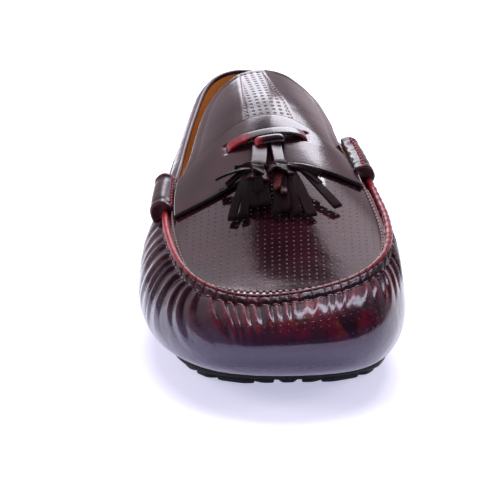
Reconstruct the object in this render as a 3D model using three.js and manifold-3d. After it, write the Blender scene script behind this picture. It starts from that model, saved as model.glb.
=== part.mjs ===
// Tassel loafer with a gathered toe, right foot, in patent leather.
// Millimetres, +Z up, toe towards -Y, inner side of the foot towards +X, floor at the lowest lug.
import * as THREE from 'three';
import { mergeVertices } from 'three/addons/utils/BufferGeometryUtils.js';
import Module from 'manifold-3d';

const wasm = await Module();
wasm.setup();

// Overall sizes
const shoeLength = 286;
const ballWidth = 108;
const backHeight = 71;
const bellyHeight = 24;
const instepRise = 20;
const toeSpring = 10;
const heelSpring = 3;
const archLift = 2.4;
const springAtBelly = 0.6;

// Walls and clearances
const leather = 2.2;
const apronLeather = 1.8;
const tongueLeather = 2.0;
const strapLeather = 1.9;
const insoleThickness = 2.6;
const marginWidth = 9;
const seatGap = 0.3;

// Sole
const lugHeight = 2.4;
const plateThickness = 2.8;
const soleInset = 0.8;
const lugInset = 2.2;
const lugPitch = 11.5;
const lugGroove = 2.6;
const lugBite = 0.5;

// Raised seam
const seamHeight = 2.1;
const strapOverSeam = 2.4;

// Rolls over the seam ends
const rollWidth = 10.5;
const rollHeight = { inner: 5.2, outer: 7.2 };
const rollShift = { inner: 2.4, outer: 1.4 };
const rollSink = 1.4;
const rollLip = 0.5;
const padFullness = 0.8;

// Bridge band, keeper and tassels
const bandWidth = 5;
const bandThickness = 1.6;
const bandArch = 4;
const bandSlope = 0.15;
const keeperWidth = 11.8;
const keeperDepth = 4.8;
const keeperHeight = 4;
const keeperLip = 0.5;
const stemThickness = 1.5;
const stemClearance = 0.6;
const stemLift = 3.4;
const stemRise = 0.8;
const stemDrop = 1;
const headRadius = 4;
const headFlatness = 0.72;
const headLift = 5.7;
const stripWidth = 3.8;
const stripThickness = 1.4;
const stripClearance = 0.35;
const stripDrop = 1.6;
const stripFall = 0.8;

// Places as shares of the length, keeperX as a share of half the ball width
const apronEnd = 0.388;
const tongueEnd = 0.657;
const seamRear = { inner: 0.455, outer: 0.425 };
const rollFront = { inner: 0.385, outer: 0.34 };
const rollRear = { inner: 0.482, outer: 0.435 };
const bridgeY = 0.427;
const keeperX = 0.034;
const toeSpringEnd = 0.21;
const heelSpringStart = 0.916;
const waist = { from: 0.43, to: 0.72 };

// Sections round the shoe from the toe by the inner side, the heel and the outer side.
// x in percent of half the ball width, y in percent of the length from the toe,
// bellyZ in percent of the belly height, rimZ in percent of the back height, turn in degrees.
const sections = [
  // footX, footY, bellyX, bellyY, bellyZ, rimX, rimY, rimZ, turn
  [9, 6.6, 6, 0, 88, 7, 8.2, 54, 80],
  [31, 7.8, 37, 0.9, 88, 35, 9.1, 57, 80],
  [51, 11, 66, 4.2, 92, 61, 12.0, 61, 78],
  [65, 16.5, 85, 10.5, 96, 78, 17.2, 66, 74],
  [71, 22, 94, 18.9, 100, 82.5, 25.2, 72, 68],
  [72, 28.7, 92, 29.4, 104, 79, 33.6, 78, 62],
  [67, 38.5, 83, 39.2, 112, 73, 42, 85, 58],
  [57, 49, 74, 49.7, 117, 65, 51, 90, 50],
  [48, 59.4, 65, 60.1, 112, 57, 60.1, 88, 45],
  [47, 71.7, 62, 72, 104, 50, 72, 86, 45],
  [48, 83.9, 60, 84.6, 104, 43, 83.9, 88, 45],
  [35, 93, 44, 95.1, 108, 28, 92.3, 95, 45],
  [-4, 96.9, -4, 100, 112, -4, 95.8, 99, 45],
  [-39, 93, -48, 95.1, 108, -33, 92.3, 95, 45],
  [-54, 83.9, -65, 84.6, 100, -46.5, 83.9, 87, 45],
  [-57, 71.7, -72, 72, 96, -55.5, 72, 82, 45],
  [-63, 59.4, -81, 60.1, 96, -62, 60.1, 80, 45],
  [-65, 49, -86, 49.7, 96, -66, 51, 80, 50],
  [-67, 38.5, -93, 39.2, 96, -72, 42, 75, 58],
  [-66, 28.7, -98, 29.4, 92, -76, 33.2, 68, 62],
  [-59, 20.3, -93, 19.2, 88, -73, 24.5, 62, 68],
  [-46, 14, -78, 10.8, 85, -64, 16.8, 57, 74],
  [-31, 9.4, -54, 4.2, 85, -46, 11.5, 53.5, 78],
  [-12, 7.2, -23, 0.9, 85, -20, 8.9, 52, 80],
];

// Instep surface, a row for each cross section: y in percent of the length, outer and inner edge x in
// percent of half the ball width and z in percent of the back height, crown in percent of the rise.
const instepRows = [
  // y, outerX, outerZ, innerX, innerZ, crown
  [7, -56, 51, 56, 56, 3],
  [15.7, -61, 56, 74, 65, 10],
  [24.5, -73, 62, 84, 71, 30],
  [33.2, -76, 68, 81, 78, 52],
  [42, -74, 75, 73, 85, 75],
  [51.7, -67, 80, 65, 93, 102],
  [59.4, -56, 93, 57, 101, 88],
  [66.4, -44, 104, 48, 107, 70],
];
const crownPower = 2.1;

// Half widths of the tongue, y in percent of the length, x in percent of half the ball width.
const tongueRows = [
  // y, outerX, innerX
  [38.5, -72, 72],
  [43.5, -62, 65],
  [48, -56, 60],
  [52.5, -52, 57.5],
  [57, -47, 57],
  [61, -41, 54.5],
  [64, -31, 45],
  [65.5, -18, 28],
  [65.9, -9, 16],
];

// Front and rear edge of the strap in percent of the length, by percent of its width from the outer end.
const strapRows = [
  // across, front, rear
  [0, 31.4, 40.8],
  [14, 31.9, 43.7],
  [28, 33.2, 46.6],
  [42, 35.2, 48],
  [56, 36.5, 48.2],
  [70, 36.6, 47.3],
  [85, 35.6, 45],
  [100, 34.5, 42],
];

// Free ends of the tassel strips: x in percent of half the ball width, y in percent of the length,
// lift of the end in millimetres over the apron.
const outerStrips = [
  [-22.6, 34.8, 5.2],
  [-36.5, 33.8, 4.2],
  [-30.2, 32.6, 3.2],
  [-28.7, 25.4, 0.5],
  [-19.4, 25.2, 0.5],
  [-10.9, 26.3, 1.4],
  [-3.1, 25.9, 2],
];
const innerStrips = [
  [36.7, 31.9, 5],
  [37, 30.2, 3.6],
  [48.7, 26.6, 1.6],
  [29.4, 24.6, 0.6],
  [17.2, 24.6, 0.6],
  [8, 25.4, 2.6],
];
// Gathered heads: x and stemX as shares of half the ball width, y as a share of the length.
const tasselHeads = {
  outer: { x: -0.065, y: 0.3465, stemX: -0.04, stemWidth: 6 },
  inner: { x: 0.097, y: 0.343, stemX: 0.078, stemWidth: 4.4 },
};

const halfWidth = ballWidth / 2;
const percent = 0.01;
const turnCount = sections.length;
const settlingPasses = 40;

function clamp(value, low, high) {
  return Math.min(Math.max(value, low), high);
}

function mix(from, to, share) {
  return from + (to - from) * share;
}

function yAt(share) {
  return (share - 0.5) * shoeLength;
}

function shareAt(y) {
  return y / shoeLength + 0.5;
}

// A smooth curve through rows of numbers, as a function of the row's number.
function smoothThrough(rows, closed) {
  const last = rows.length - 1;
  const pick = (list, i, k) => {
    if (closed) return list[(i + rows.length) % rows.length][k];
    if (i < 0) return 2 * list[0][k] - list[1][k];
    if (i > last) return 2 * list[last][k] - list[last - 1][k];
    return list[i][k];
  };
  let control = rows;
  for (let pass = 0; pass < settlingPasses; pass += 1) {
    const before = control;
    control = rows.map((row, i) => row.map((value, k) => (
      (6 * value - pick(before, i - 1, k) - pick(before, i + 1, k)) / 4)));
  }
  return (u) => {
    const i = closed ? Math.floor(u) : clamp(Math.floor(u), 0, last - 1);
    const t = u - i;
    const weights = [
      (1 - t) ** 3,
      3 * t ** 3 - 6 * t ** 2 + 4,
      -3 * t ** 3 + 3 * t ** 2 + 3 * t + 1,
      t ** 3,
    ];
    return rows[0].map((_, k) => weights.reduce((sum, weight, n) => (
      sum + weight * pick(control, i - 1 + n, k)), 0) / 6);
  };
}

// Row number of a rising first column, for straight steps between rows.
function rowOf(rows, value) {
  const last = rows.length - 1;
  const i = clamp(rows.findIndex((row) => row[0] > value) - 1, 0, last - 1);
  const from = value >= rows[last][0] ? last - 1 : i;
  return from + (value - rows[from][0]) / (rows[from + 1][0] - rows[from][0]);
}

const sectionAt = smoothThrough(sections, true);
const instepAt = smoothThrough(instepRows, false);
const tongueAt = smoothThrough(tongueRows, false);
const strapAt = smoothThrough(strapRows, false);

// Height of the sole's underside over the floor, from the share of the length.
function soleRise(share) {
  const toe = toeSpring * clamp(1 - share / toeSpringEnd, 0, 1) ** 2;
  const heel = heelSpring * clamp((share - heelSpringStart) / (1 - heelSpringStart), 0, 1) ** 2;
  const through = clamp((share - waist.from) / (waist.to - waist.from), 0, 1);
  return toe + heel + archLift * Math.sin(Math.PI * through) ** 2;
}

const footHeight = lugHeight + plateThickness + seatGap;

// Outer face of the upper: u is the section's number, v runs from the foot (0) by the belly (1) to the rim (2).
function wallPoint(u, v) {
  const [footX, footY, bellyX, bellyY, bellyZ, rimX, rimY, rimZ, turn] = sectionAt(u);
  const low = clamp(v, 0, 1) * Math.PI / 2;
  const full = THREE.MathUtils.degToRad(turn);
  const high = clamp(v - 1, 0, 1) * full;
  const out = Math.sin(low);
  const up = 1 - Math.cos(low);
  const back = (1 - Math.cos(high)) / (1 - Math.cos(full));
  const rise = Math.sin(high) / Math.sin(full);
  const x = footX + (bellyX - footX) * out + (rimX - bellyX) * back;
  const y = footY + (bellyY - footY) * out + (rimY - bellyY) * back;
  const footZ = footHeight + soleRise(footY * percent);
  const bellyTop = bellyZ * percent * bellyHeight + soleRise(bellyY * percent) * springAtBelly;
  const rimTop = rimZ * percent * backHeight;
  const z = footZ + (bellyTop - footZ) * up + (rimTop - bellyTop) * rise;
  return new THREE.Vector3(x * percent * halfWidth, yAt(y * percent), z);
}

// Outward normal of the upper's outer face.
function wallNormal(u, v) {
  const step = 0.01;
  const inside = clamp(v, step, 2 - step);
  const along = wallPoint(u + step, inside).sub(wallPoint(u - step, inside));
  const up = wallPoint(u, inside + step).sub(wallPoint(u, inside - step));
  return along.cross(up).normalize();
}

function wallOffset(u, v, distance) {
  return wallPoint(u, v).addScaledVector(wallNormal(u, v), distance);
}

// Edge of the margin that turns in under the foot, at a height over the margin's lower face.
function marginPoint(u, height) {
  const step = 0.02;
  const foot = wallPoint(u, 0);
  const along = wallPoint(u + step, 0).sub(wallPoint(u - step, 0)).setZ(0).normalize();
  const inward = new THREE.Vector3(-along.y, along.x, 0);
  const edge = foot.clone().addScaledVector(inward, marginWidth);
  edge.z = footHeight + soleRise(shareAt(edge.y)) + height;
  return edge;
}

// Crowned instep surface over the plan point x, y.
function instepHeight(x, y) {
  const [, outerX, outerZ, innerX, innerZ, crown] = instepAt(rowOf(instepRows, shareAt(y) / percent));
  const across = (x / halfWidth / percent - outerX) / (innerX - outerX);
  const edgeZ = mix(outerZ, innerZ, across) * percent * backHeight;
  return edgeZ + crown * percent * instepRise * (1 - Math.abs(2 * across - 1) ** crownPower);
}

function instepNormal(x, y) {
  const step = 0.5;
  const slopeX = (instepHeight(x + step, y) - instepHeight(x - step, y)) / (2 * step);
  const slopeY = (instepHeight(x, y + step) - instepHeight(x, y - step)) / (2 * step);
  return new THREE.Vector3(-slopeX, -slopeY, 1).normalize();
}

function instepPoint(x, y, lift) {
  return new THREE.Vector3(x, y, instepHeight(x, y)).addScaledVector(instepNormal(x, y), lift);
}

// A closed solid from triangles, turned so that its faces point out.
function closedGeometry(points, triangles) {
  const geometry = new THREE.BufferGeometry();
  geometry.setAttribute('position', new THREE.Float32BufferAttribute(points.flatMap((p) => [p.x, p.y, p.z]), 3));
  let volume = 0;
  for (const [a, b, c] of triangles) {
    volume += points[a].dot(new THREE.Vector3().crossVectors(points[b], points[c]));
  }
  const faces = volume < 0 ? triangles.map(([a, b, c]) => [a, c, b]) : triangles;
  geometry.setIndex(faces.flat());
  return geometry;
}

// A solid between two grids of points with the same rows and columns.
function slab(top, bottom) {
  const rows = top.length;
  const columns = top[0].length;
  const points = [...top.flat(), ...bottom.flat()];
  const upper = (i, j) => i * columns + j;
  const lower = (i, j) => rows * columns + i * columns + j;
  const triangles = [];
  const quad = (a, b, c, d) => triangles.push([a, b, c], [a, c, d]);
  for (let i = 0; i < rows - 1; i += 1) {
    for (let j = 0; j < columns - 1; j += 1) {
      quad(upper(i, j), upper(i, j + 1), upper(i + 1, j + 1), upper(i + 1, j));
      quad(lower(i, j), lower(i + 1, j), lower(i + 1, j + 1), lower(i, j + 1));
    }
    quad(upper(i, 0), upper(i + 1, 0), lower(i + 1, 0), lower(i, 0));
    quad(upper(i + 1, columns - 1), upper(i, columns - 1), lower(i, columns - 1), lower(i + 1, columns - 1));
  }
  for (let j = 0; j < columns - 1; j += 1) {
    quad(upper(0, j), lower(0, j), lower(0, j + 1), upper(0, j + 1));
    quad(upper(rows - 1, j + 1), lower(rows - 1, j + 1), lower(rows - 1, j), upper(rows - 1, j));
  }
  return closedGeometry(points, triangles);
}

// A solid ring: each row is a closed section, and the last row meets the first.
function ring(grid) {
  const rows = grid.length;
  const columns = grid[0].length;
  const at = (i, j) => (i % rows) * columns + (j % columns);
  const triangles = [];
  for (let i = 0; i < rows; i += 1) {
    for (let j = 0; j < columns; j += 1) {
      triangles.push([at(i, j), at(i + 1, j), at(i + 1, j + 1)]);
      triangles.push([at(i, j), at(i + 1, j + 1), at(i, j + 1)]);
    }
  }
  return closedGeometry(grid.flat(), triangles);
}

function solidOf(geometry) {
  const bare = geometry.clone();
  bare.deleteAttribute('normal');
  bare.deleteAttribute('uv');
  const merged = mergeVertices(bare, 1e-5);
  return new wasm.Manifold(new wasm.Mesh({
    numProp: 3,
    vertProperties: new Float32Array(merged.getAttribute('position').array),
    triVerts: new Uint32Array(merged.getIndex().array),
  }));
}

function geometryOf(solid) {
  const mesh = solid.getMesh();
  const geometry = new THREE.BufferGeometry();
  geometry.setAttribute('position', new THREE.Float32BufferAttribute(Array.from(mesh.vertProperties), 3));
  geometry.setIndex(Array.from(mesh.triVerts));
  return geometry;
}

// Outline in plan as a list of points, moved inwards by a distance.
function insetOutline(outline, distance) {
  const count = outline.length;
  return outline.map((point, i) => {
    const before = outline[(i + count - 1) % count];
    const after = outline[(i + 1) % count];
    const along = after.clone().sub(before).setZ(0).normalize();
    return point.clone().addScaledVector(new THREE.Vector3(-along.y, along.x, 0), distance);
  });
}

// Lowest and highest x where an outline crosses a line across the shoe.
function edgesAt(outline, y) {
  const crossings = [];
  outline.forEach((a, i) => {
    const b = outline[(i + 1) % outline.length];
    if ((a.y > y) !== (b.y > y)) crossings.push(mix(a.x, b.x, (y - a.y) / (b.y - a.y)));
  });
  return [Math.min(...crossings), Math.max(...crossings)];
}

function spanOf(outline) {
  const places = outline.map((point) => point.y);
  return [Math.min(...places), Math.max(...places)];
}

// Shares from 0 to 1, closer together near both ends.
function easedShares(count) {
  return Array.from({ length: count + 1 }, (_, i) => (1 - Math.cos(Math.PI * i / count)) / 2);
}

function evenShares(count) {
  return Array.from({ length: count + 1 }, (_, i) => i / count);
}

// Upper
const aroundCount = 96;
const aroundSteps = Array.from({ length: aroundCount }, (_, i) => i * turnCount / aroundCount);
// v along the outer face, and how much of the raised seam shows there.
const outerRows = [
  [0, 0], [0.25, 0], [0.5, 0], [0.75, 0], [1, 0], [1.3, 0], [1.6, 0],
  [1.86, 0], [1.885, 0.55], [1.93, 1], [1.97, 1], [2, 0.6],
];
const innerRows = [2, 1.8, 1.4, 1, 0.7, 0.4, 0.18, 0];
const rimStep = 0.01;
const seamBlend = 0.5;

// Section numbers where the rim passes a share of the length, on the inner and the outer side.
function sectionNumberAt(share, side) {
  let near = side === 'inner' ? 0 : turnCount;
  let far = turnCount / 2;
  for (let pass = 0; pass < settlingPasses; pass += 1) {
    const middle = (near + far) / 2;
    if (shareAt(wallPoint(middle, 2).y) < share) near = middle;
    else far = middle;
  }
  return near;
}

const seamEnds = {
  inner: sectionNumberAt(seamRear.inner, 'inner'),
  outer: sectionNumberAt(seamRear.outer, 'outer'),
};

// 1 where the rim is the toe seam, 0 round the collar.
function seamShare(u) {
  const inner = THREE.MathUtils.smoothstep(seamEnds.inner + seamBlend / 2 - u, 0, seamBlend);
  const outer = THREE.MathUtils.smoothstep(u - seamEnds.outer + seamBlend / 2, 0, seamBlend);
  return Math.max(inner, outer);
}

// gap grows the section for a neighbour's clearance, and depth thickens it inwards for the same cut.
function upperSection(u, gap, depth) {
  const lip = wallPoint(u, 2).sub(wallPoint(u, 2 - rimStep)).normalize().multiplyScalar(gap);
  const outside = outerRows.map(([v, seam]) => {
    const point = wallOffset(u, v, seam * seamHeight * seamShare(u) + gap);
    return v === 2 ? point.add(lip) : point;
  });
  const inside = innerRows.map((v) => {
    const point = wallOffset(u, v, -leather - depth);
    return v === 2 ? point.add(lip) : point;
  });
  return [marginPoint(u, -gap), ...outside, ...inside, marginPoint(u, leather + depth)];
}

function upperGeometry(gap, depth) {
  return ring(aroundSteps.map((u) => upperSection(u, gap, depth)));
}

const mouthOutline = aroundSteps.map((u) => wallOffset(u, 2, -leather));
const apronOutline = insetOutline(mouthOutline, seatGap);
const footOutline = aroundSteps.map((u) => wallPoint(u, 0));

// Outsole: a plate with a row of lugs under forefoot and heel
function soleRow(outline, y, shares, height) {
  const [low, high] = edgesAt(outline, y);
  return shares.map((share) => new THREE.Vector3(mix(low, high, share), y, soleRise(shareAt(y)) + height));
}

function soleSlab(outline, rowCount, bottom, top) {
  const [front, rear] = spanOf(outline);
  const endCut = 0.12;
  const places = easedShares(rowCount).map((share) => mix(front + endCut, rear - endCut, share));
  const shares = evenShares(2);
  return slab(
    places.map((y) => soleRow(outline, y, shares, top)),
    places.map((y) => soleRow(outline, y, shares, bottom)),
  );
}

// Lug fields: from and to as shares of the length, with the number of lugs across.
const lugFields = [
  { from: 0.088, to: 0.43, across: 5 },
  { from: 0.73, to: 0.955, across: 3 },
];

function lugSolids(outline) {
  const [front, rear] = spanOf(outline);
  const solids = [];
  for (const { from, to, across } of lugFields) {
    const rows = Math.round((to - from) * shoeLength / lugPitch);
    const pitch = (to - from) * shoeLength / rows;
    for (let i = 0; i < rows; i += 1) {
      const start = Math.max(yAt(from) + i * pitch, front + lugGroove);
      const end = Math.min(start + pitch - lugGroove, rear - lugGroove);
      for (let j = 0; j < across; j += 1) {
        const corner = (y, side) => {
          const [low, high] = edgesAt(outline, y);
          const wide = (high - low + lugGroove) / across;
          return low + (j + side) * wide - side * lugGroove;
        };
        const face = (lift) => [start, end].map((y) => [0, 1].map((side) => (
          new THREE.Vector3(corner(y, side), y, soleRise(shareAt(y)) + lift))));
        solids.push(solidOf(slab(face(lugHeight + lugBite), face(0))));
      }
    }
  }
  return solids;
}

function outsoleGeometry() {
  const plateOutline = insetOutline(footOutline, soleInset);
  const lugOutline = insetOutline(footOutline, lugInset);
  const plate = solidOf(soleSlab(plateOutline, 34, lugHeight, lugHeight + plateThickness));
  return geometryOf(lugSolids(lugOutline).reduce((sum, lug) => sum.add(lug), plate));
}

// Insole
function insoleGeometry() {
  const bottom = footHeight + leather + seatGap;
  return soleSlab(insetOutline(footOutline, soleInset), 30, bottom, bottom + insoleThickness);
}

// Apron: the top panel inside the toe seam, its rows closer together towards the toe
const apronTipCut = 0.5;
const apronCrowding = 1.5;

function apronGeometry(outline, gap, depth) {
  const [front] = spanOf(outline);
  const start = front + apronTipCut;
  const places = evenShares(22).map((share) => mix(start, yAt(apronEnd) + gap, share ** apronCrowding));
  const face = (lift) => places.map((y) => {
    const [low, high] = edgesAt(outline, y);
    return evenShares(14).map((share) => instepPoint(mix(low, high, share), y, lift));
  });
  return slab(face(gap), face(-apronLeather - depth));
}

// Tongue: from under the strap to its free rounded tip, its rows closer together towards the tip
const tongueCrowding = 1.4;

function tongueEdges(y, gap) {
  const [, outerX, innerX] = tongueAt(rowOf(tongueRows, shareAt(y) / percent));
  const [low, high] = edgesAt(apronOutline, y);
  return [
    Math.max(outerX * percent * halfWidth, low) - gap,
    Math.min(innerX * percent * halfWidth, high) + gap,
  ];
}

function tongueGeometry(gap, depth) {
  const start = yAt(apronEnd) + seatGap - gap;
  const places = evenShares(13).map((share) => mix(start, yAt(tongueEnd), 1 - (1 - share) ** tongueCrowding));
  const face = (lift) => places.map((y) => {
    const [low, high] = tongueEdges(y, gap);
    return evenShares(10).map((share) => instepPoint(mix(low, high, share), y, lift));
  });
  return slab(face(gap), face(-tongueLeather - depth));
}

// Strap: a saddle over apron and tongue, with two slits for the bridge band
function strapFace(lift, grow) {
  return evenShares(6).map((along) => evenShares(18).map((across) => {
    const [, front, rear] = strapAt(rowOf(strapRows, across / percent));
    const y = mix(yAt(front * percent) - grow, yAt(rear * percent) + grow, along);
    const [low, high] = edgesAt(apronOutline, y);
    const inset = strapOverSeam - grow;
    return instepPoint(mix(low + inset, high - inset, across), y, lift);
  }));
}

function strapGeometry(gap) {
  return slab(strapFace(seatGap + strapLeather + gap, gap), strapFace(seatGap - gap, gap));
}

// Bridge band: x in percent of half the ball width, lift as a share of the band's arch
const bandRoute = [
  [-27.5, 0.1], [-26.8, 0.36], [-23, 0.72], [-15, 0.93], [-7, 1],
  [4, 1.02], [15, 1], [22, 0.9], [27, 0.68], [30.2, 0.36], [30.8, 0.1],
];

function bandMiddle(x) {
  return yAt(bridgeY) + bandSlope * x;
}

function bandGeometry(widePad, thickPad) {
  const places = bandRoute.map(([x, lift]) => new THREE.Vector2(x * percent * halfWidth, lift * bandArch + seatGap));
  const side = bandWidth / 2 + widePad;
  const half = bandThickness / 2 + thickPad;
  const face = (sign) => places.map((place, i) => {
    const before = places[Math.max(i - 1, 0)];
    const after = places[Math.min(i + 1, places.length - 1)];
    const along = after.clone().sub(before).normalize();
    const x = place.x - along.y * half * sign;
    const lift = place.y + along.x * half * sign;
    return [-side, side].map((aside) => instepPoint(x, bandMiddle(x) + aside, lift));
  });
  return slab(face(1), face(-1));
}

// Padded pieces are fuller in their middle than at both ends.
function padSwell(share) {
  return mix(padFullness, 1, Math.sin(Math.PI * share));
}

// Keeper: a short padded roll on the strap, along the front edge of the bridge band
function keeperMiddle(x) {
  return bandMiddle(x) - bandWidth / 2 - seatGap - keeperDepth / 2;
}

function keeperGeometry() {
  const seat = seatGap + strapLeather + seatGap;
  const steps = evenShares(8);
  const face = (foot, height) => evenShares(6).map((share) => {
    const x = keeperX * halfWidth + (share - 0.5) * keeperWidth;
    const swell = height * padSwell(share);
    return steps.map((step) => instepPoint(
      x,
      keeperMiddle(x) + Math.cos(Math.PI * step) * keeperDepth / 2,
      seat + foot + Math.sin(Math.PI * step) * swell,
    ));
  });
  return slab(face(keeperLip, keeperHeight), face(0, 0));
}

// Rolls: padded sleeves over both ends of the seam, hollowed for seam, apron and strap
const cutDepth = 4;

function rollGeometry(side, clearances) {
  const from = sectionNumberAt(rollFront[side], side);
  const to = sectionNumberAt(rollRear[side], side);
  const steps = evenShares(10);
  const face = (foot, height) => steps.map((share) => {
    const u = mix(from, to, share);
    const normal = wallNormal(u, 2);
    const along = wallPoint(u + 0.02, 2).sub(wallPoint(u - 0.02, 2)).normalize();
    const across = new THREE.Vector3().crossVectors(normal, along);
    const seat = wallPoint(u, 2).addScaledVector(across, rollShift[side]);
    const swell = height * padSwell(share);
    return steps.map((step) => (
      seat.clone()
        .addScaledVector(across, Math.cos(Math.PI * step) * rollWidth / 2)
        .addScaledVector(normal, foot + Math.sin(Math.PI * step) * swell)));
  });
  const bar = solidOf(slab(face(rollLip - rollSink, rollHeight[side]), face(-rollSink, 0)));
  return geometryOf(clearances.reduce((left, cutter) => left.subtract(cutter), bar));
}

// Tassels: a flat stem, a gathered head and strips that fan out over the apron
function flatStrip(route, width, thickness) {
  const face = (raise) => route.map(({ x, y, lift }, i) => {
    const before = route[Math.max(i - 1, 0)];
    const after = route[Math.min(i + 1, route.length - 1)];
    const length = Math.hypot(after.x - before.x, after.y - before.y);
    const sideX = -(after.y - before.y) / length * width / 2;
    const sideY = (after.x - before.x) / length * width / 2;
    return [-1, 1].map((side) => instepPoint(x + side * sideX, y + side * sideY, lift + raise));
  });
  return solidOf(slab(face(thickness), face(0)));
}

function tasselGeometry(head, strips) {
  const centre = { x: head.x * halfWidth, y: yAt(head.y) };
  const knot = new THREE.SphereGeometry(headRadius, 12, 8);
  knot.scale(1, 1, headFlatness);
  const middle = instepPoint(centre.x, centre.y, headLift);
  knot.translate(middle.x, middle.y, middle.z);
  const stemX = head.stemX * halfWidth;
  const stemStart = keeperMiddle(stemX - head.stemWidth / 2) - keeperDepth / 2 - stemClearance;
  const stem = flatStrip([
    { x: stemX, y: stemStart, lift: stemLift },
    { x: mix(stemX, centre.x, 0.5), y: mix(stemStart, centre.y, 0.5), lift: stemLift + stemRise },
    { x: centre.x, y: centre.y, lift: headLift - stemDrop },
  ], head.stemWidth, stemThickness);
  const hanging = strips.map(([endX, endY, lift]) => {
    const end = { x: endX * percent * halfWidth, y: yAt(endY * percent) };
    const route = evenShares(3).map((share) => ({
      x: mix(centre.x, end.x, share),
      y: mix(centre.y, end.y, share),
      lift: stripClearance + mix(headLift - stripDrop, lift, share ** stripFall),
    }));
    return flatStrip(route, stripWidth, stripThickness);
  });
  return geometryOf([stem, ...hanging].reduce((sum, piece) => sum.add(piece), solidOf(knot)));
}

// Materials
function leatherFinish(color, roughness) {
  return new THREE.MeshStandardMaterial({ color, roughness, metalness: 0 });
}

const patent = leatherFinish(0x2c1318, 0.18);
const patentPanel = leatherFinish(0x3a2328, 0.2);
const tasselLeather = leatherFinish(0x1a0d10, 0.5);
const tanLining = leatherFinish(0xb9783c, 0.6);
const rubber = leatherFinish(0x151416, 0.8);

const loafer = new THREE.Group();
function place(name, geometry, material) {
  const mesh = new THREE.Mesh(geometry, material);
  mesh.name = name;
  loafer.add(mesh);
}

const strapBlank = solidOf(strapGeometry(0));
const slitCutter = solidOf(bandGeometry(seatGap, seatGap));
const strap = strapBlank.subtract(slitCutter);
const rollClearances = [
  solidOf(upperGeometry(seatGap, cutDepth)),
  solidOf(apronGeometry(mouthOutline, seatGap, cutDepth)),
  solidOf(tongueGeometry(seatGap, cutDepth)),
  solidOf(strapGeometry(seatGap)),
];

place('outsole', outsoleGeometry(), rubber);
place('upper', upperGeometry(0, 0), patent);
place('insole', insoleGeometry(), tanLining);
place('apron', apronGeometry(apronOutline, 0, 0), patentPanel);
place('tongue', tongueGeometry(0, 0), patentPanel);
place('strap', geometryOf(strap), patent);
place('bridge_band', bandGeometry(0, 0), patent);
place('keeper', keeperGeometry(), patent);
place('roll_outer', rollGeometry('outer', rollClearances), patent);
place('roll_inner', rollGeometry('inner', rollClearances), patent);
place('tassel_outer', tasselGeometry(tasselHeads.outer, outerStrips), tasselLeather);
place('tassel_inner', tasselGeometry(tasselHeads.inner, innerStrips), tasselLeather);

export default loafer;
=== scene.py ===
"""Looks of a tassel loafer with a gathered toe, right foot, in burgundy leather rubbed through at its ridges.

Shapes are worked out in millimetres in the frame of the solids: toe towards -Y, inner side of the foot
towards +X, floor at 0. Every new surface is a function on a grid or a profile carried along a path.
"""

import bpy
import numpy as np
from mathutils import Matrix


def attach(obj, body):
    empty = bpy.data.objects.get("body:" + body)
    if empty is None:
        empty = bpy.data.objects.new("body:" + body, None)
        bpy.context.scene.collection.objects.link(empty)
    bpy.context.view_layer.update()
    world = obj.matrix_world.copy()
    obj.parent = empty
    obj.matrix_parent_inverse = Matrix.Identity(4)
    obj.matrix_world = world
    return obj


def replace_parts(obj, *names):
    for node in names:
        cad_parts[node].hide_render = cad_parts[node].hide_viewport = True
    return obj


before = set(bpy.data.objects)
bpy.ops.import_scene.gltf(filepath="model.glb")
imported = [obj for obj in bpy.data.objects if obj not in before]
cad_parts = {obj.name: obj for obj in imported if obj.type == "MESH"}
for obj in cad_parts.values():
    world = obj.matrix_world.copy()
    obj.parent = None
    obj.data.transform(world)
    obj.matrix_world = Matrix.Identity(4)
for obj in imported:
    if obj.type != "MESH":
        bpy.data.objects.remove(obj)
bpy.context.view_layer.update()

MM = 0.001
PERCENT = 0.01

# Sizes of the shoe
SHOE_LENGTH = 286.0
HALF_WIDTH = 54.0
BACK_HEIGHT = 71.0
BELLY_HEIGHT = 24.0
INSTEP_RISE = 20.0
TOE_SPRING = 10.0
HEEL_SPRING = 3.0
ARCH_LIFT = 2.4
SPRING_AT_BELLY = 0.6
TOE_SPRING_END = 0.21
HEEL_SPRING_START = 0.916
WAIST_FRONT = 0.43
WAIST_REAR = 0.72
LEATHER = 2.2
APRON_LEATHER = 1.8
TONGUE_LEATHER = 2.0
STRAP_LEATHER = 1.9
SOCK_THICKNESS = 2.6
MARGIN_WIDTH = 9.0
SEAT_GAP = 0.3
LUG_HEIGHT = 2.4
PLATE_THICKNESS = 2.8
FOOT_HEIGHT = LUG_HEIGHT + PLATE_THICKNESS + SEAT_GAP
APRON_END = 0.388
TONGUE_END = 0.657
SEAM_REAR_INNER = 0.455
SEAM_REAR_OUTER = 0.425
ROLL_WIDTH = 10.5
ROLL_HEIGHT = {"inner": 5.2, "outer": 7.2}
ROLL_SHIFT = {"inner": 2.4, "outer": 1.4}
ROLL_FRONT = {"inner": 0.385, "outer": 0.34}
ROLL_REAR = {"inner": 0.482, "outer": 0.435}
STRAP_OVER_SEAM = 2.4
BRIDGE_SHARE = 0.427
BRIDGE_SLOPE = 0.15
BRIDGE_ARCH = 4.0
BAND_WIDTH = 5.0
KEEPER_X = 0.034
KEEPER_WIDTH = 11.8
KEEPER_DEPTH = 4.8
KEEPER_HEIGHT = 4.0
CROWN_POWER = 2.1

# Gathered seam
PLEAT_PITCH = 3.9
STITCH_PITCH = 2.45
HOLE_PITCH = 2.8
HOLE_SKEW = 0.06

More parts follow.
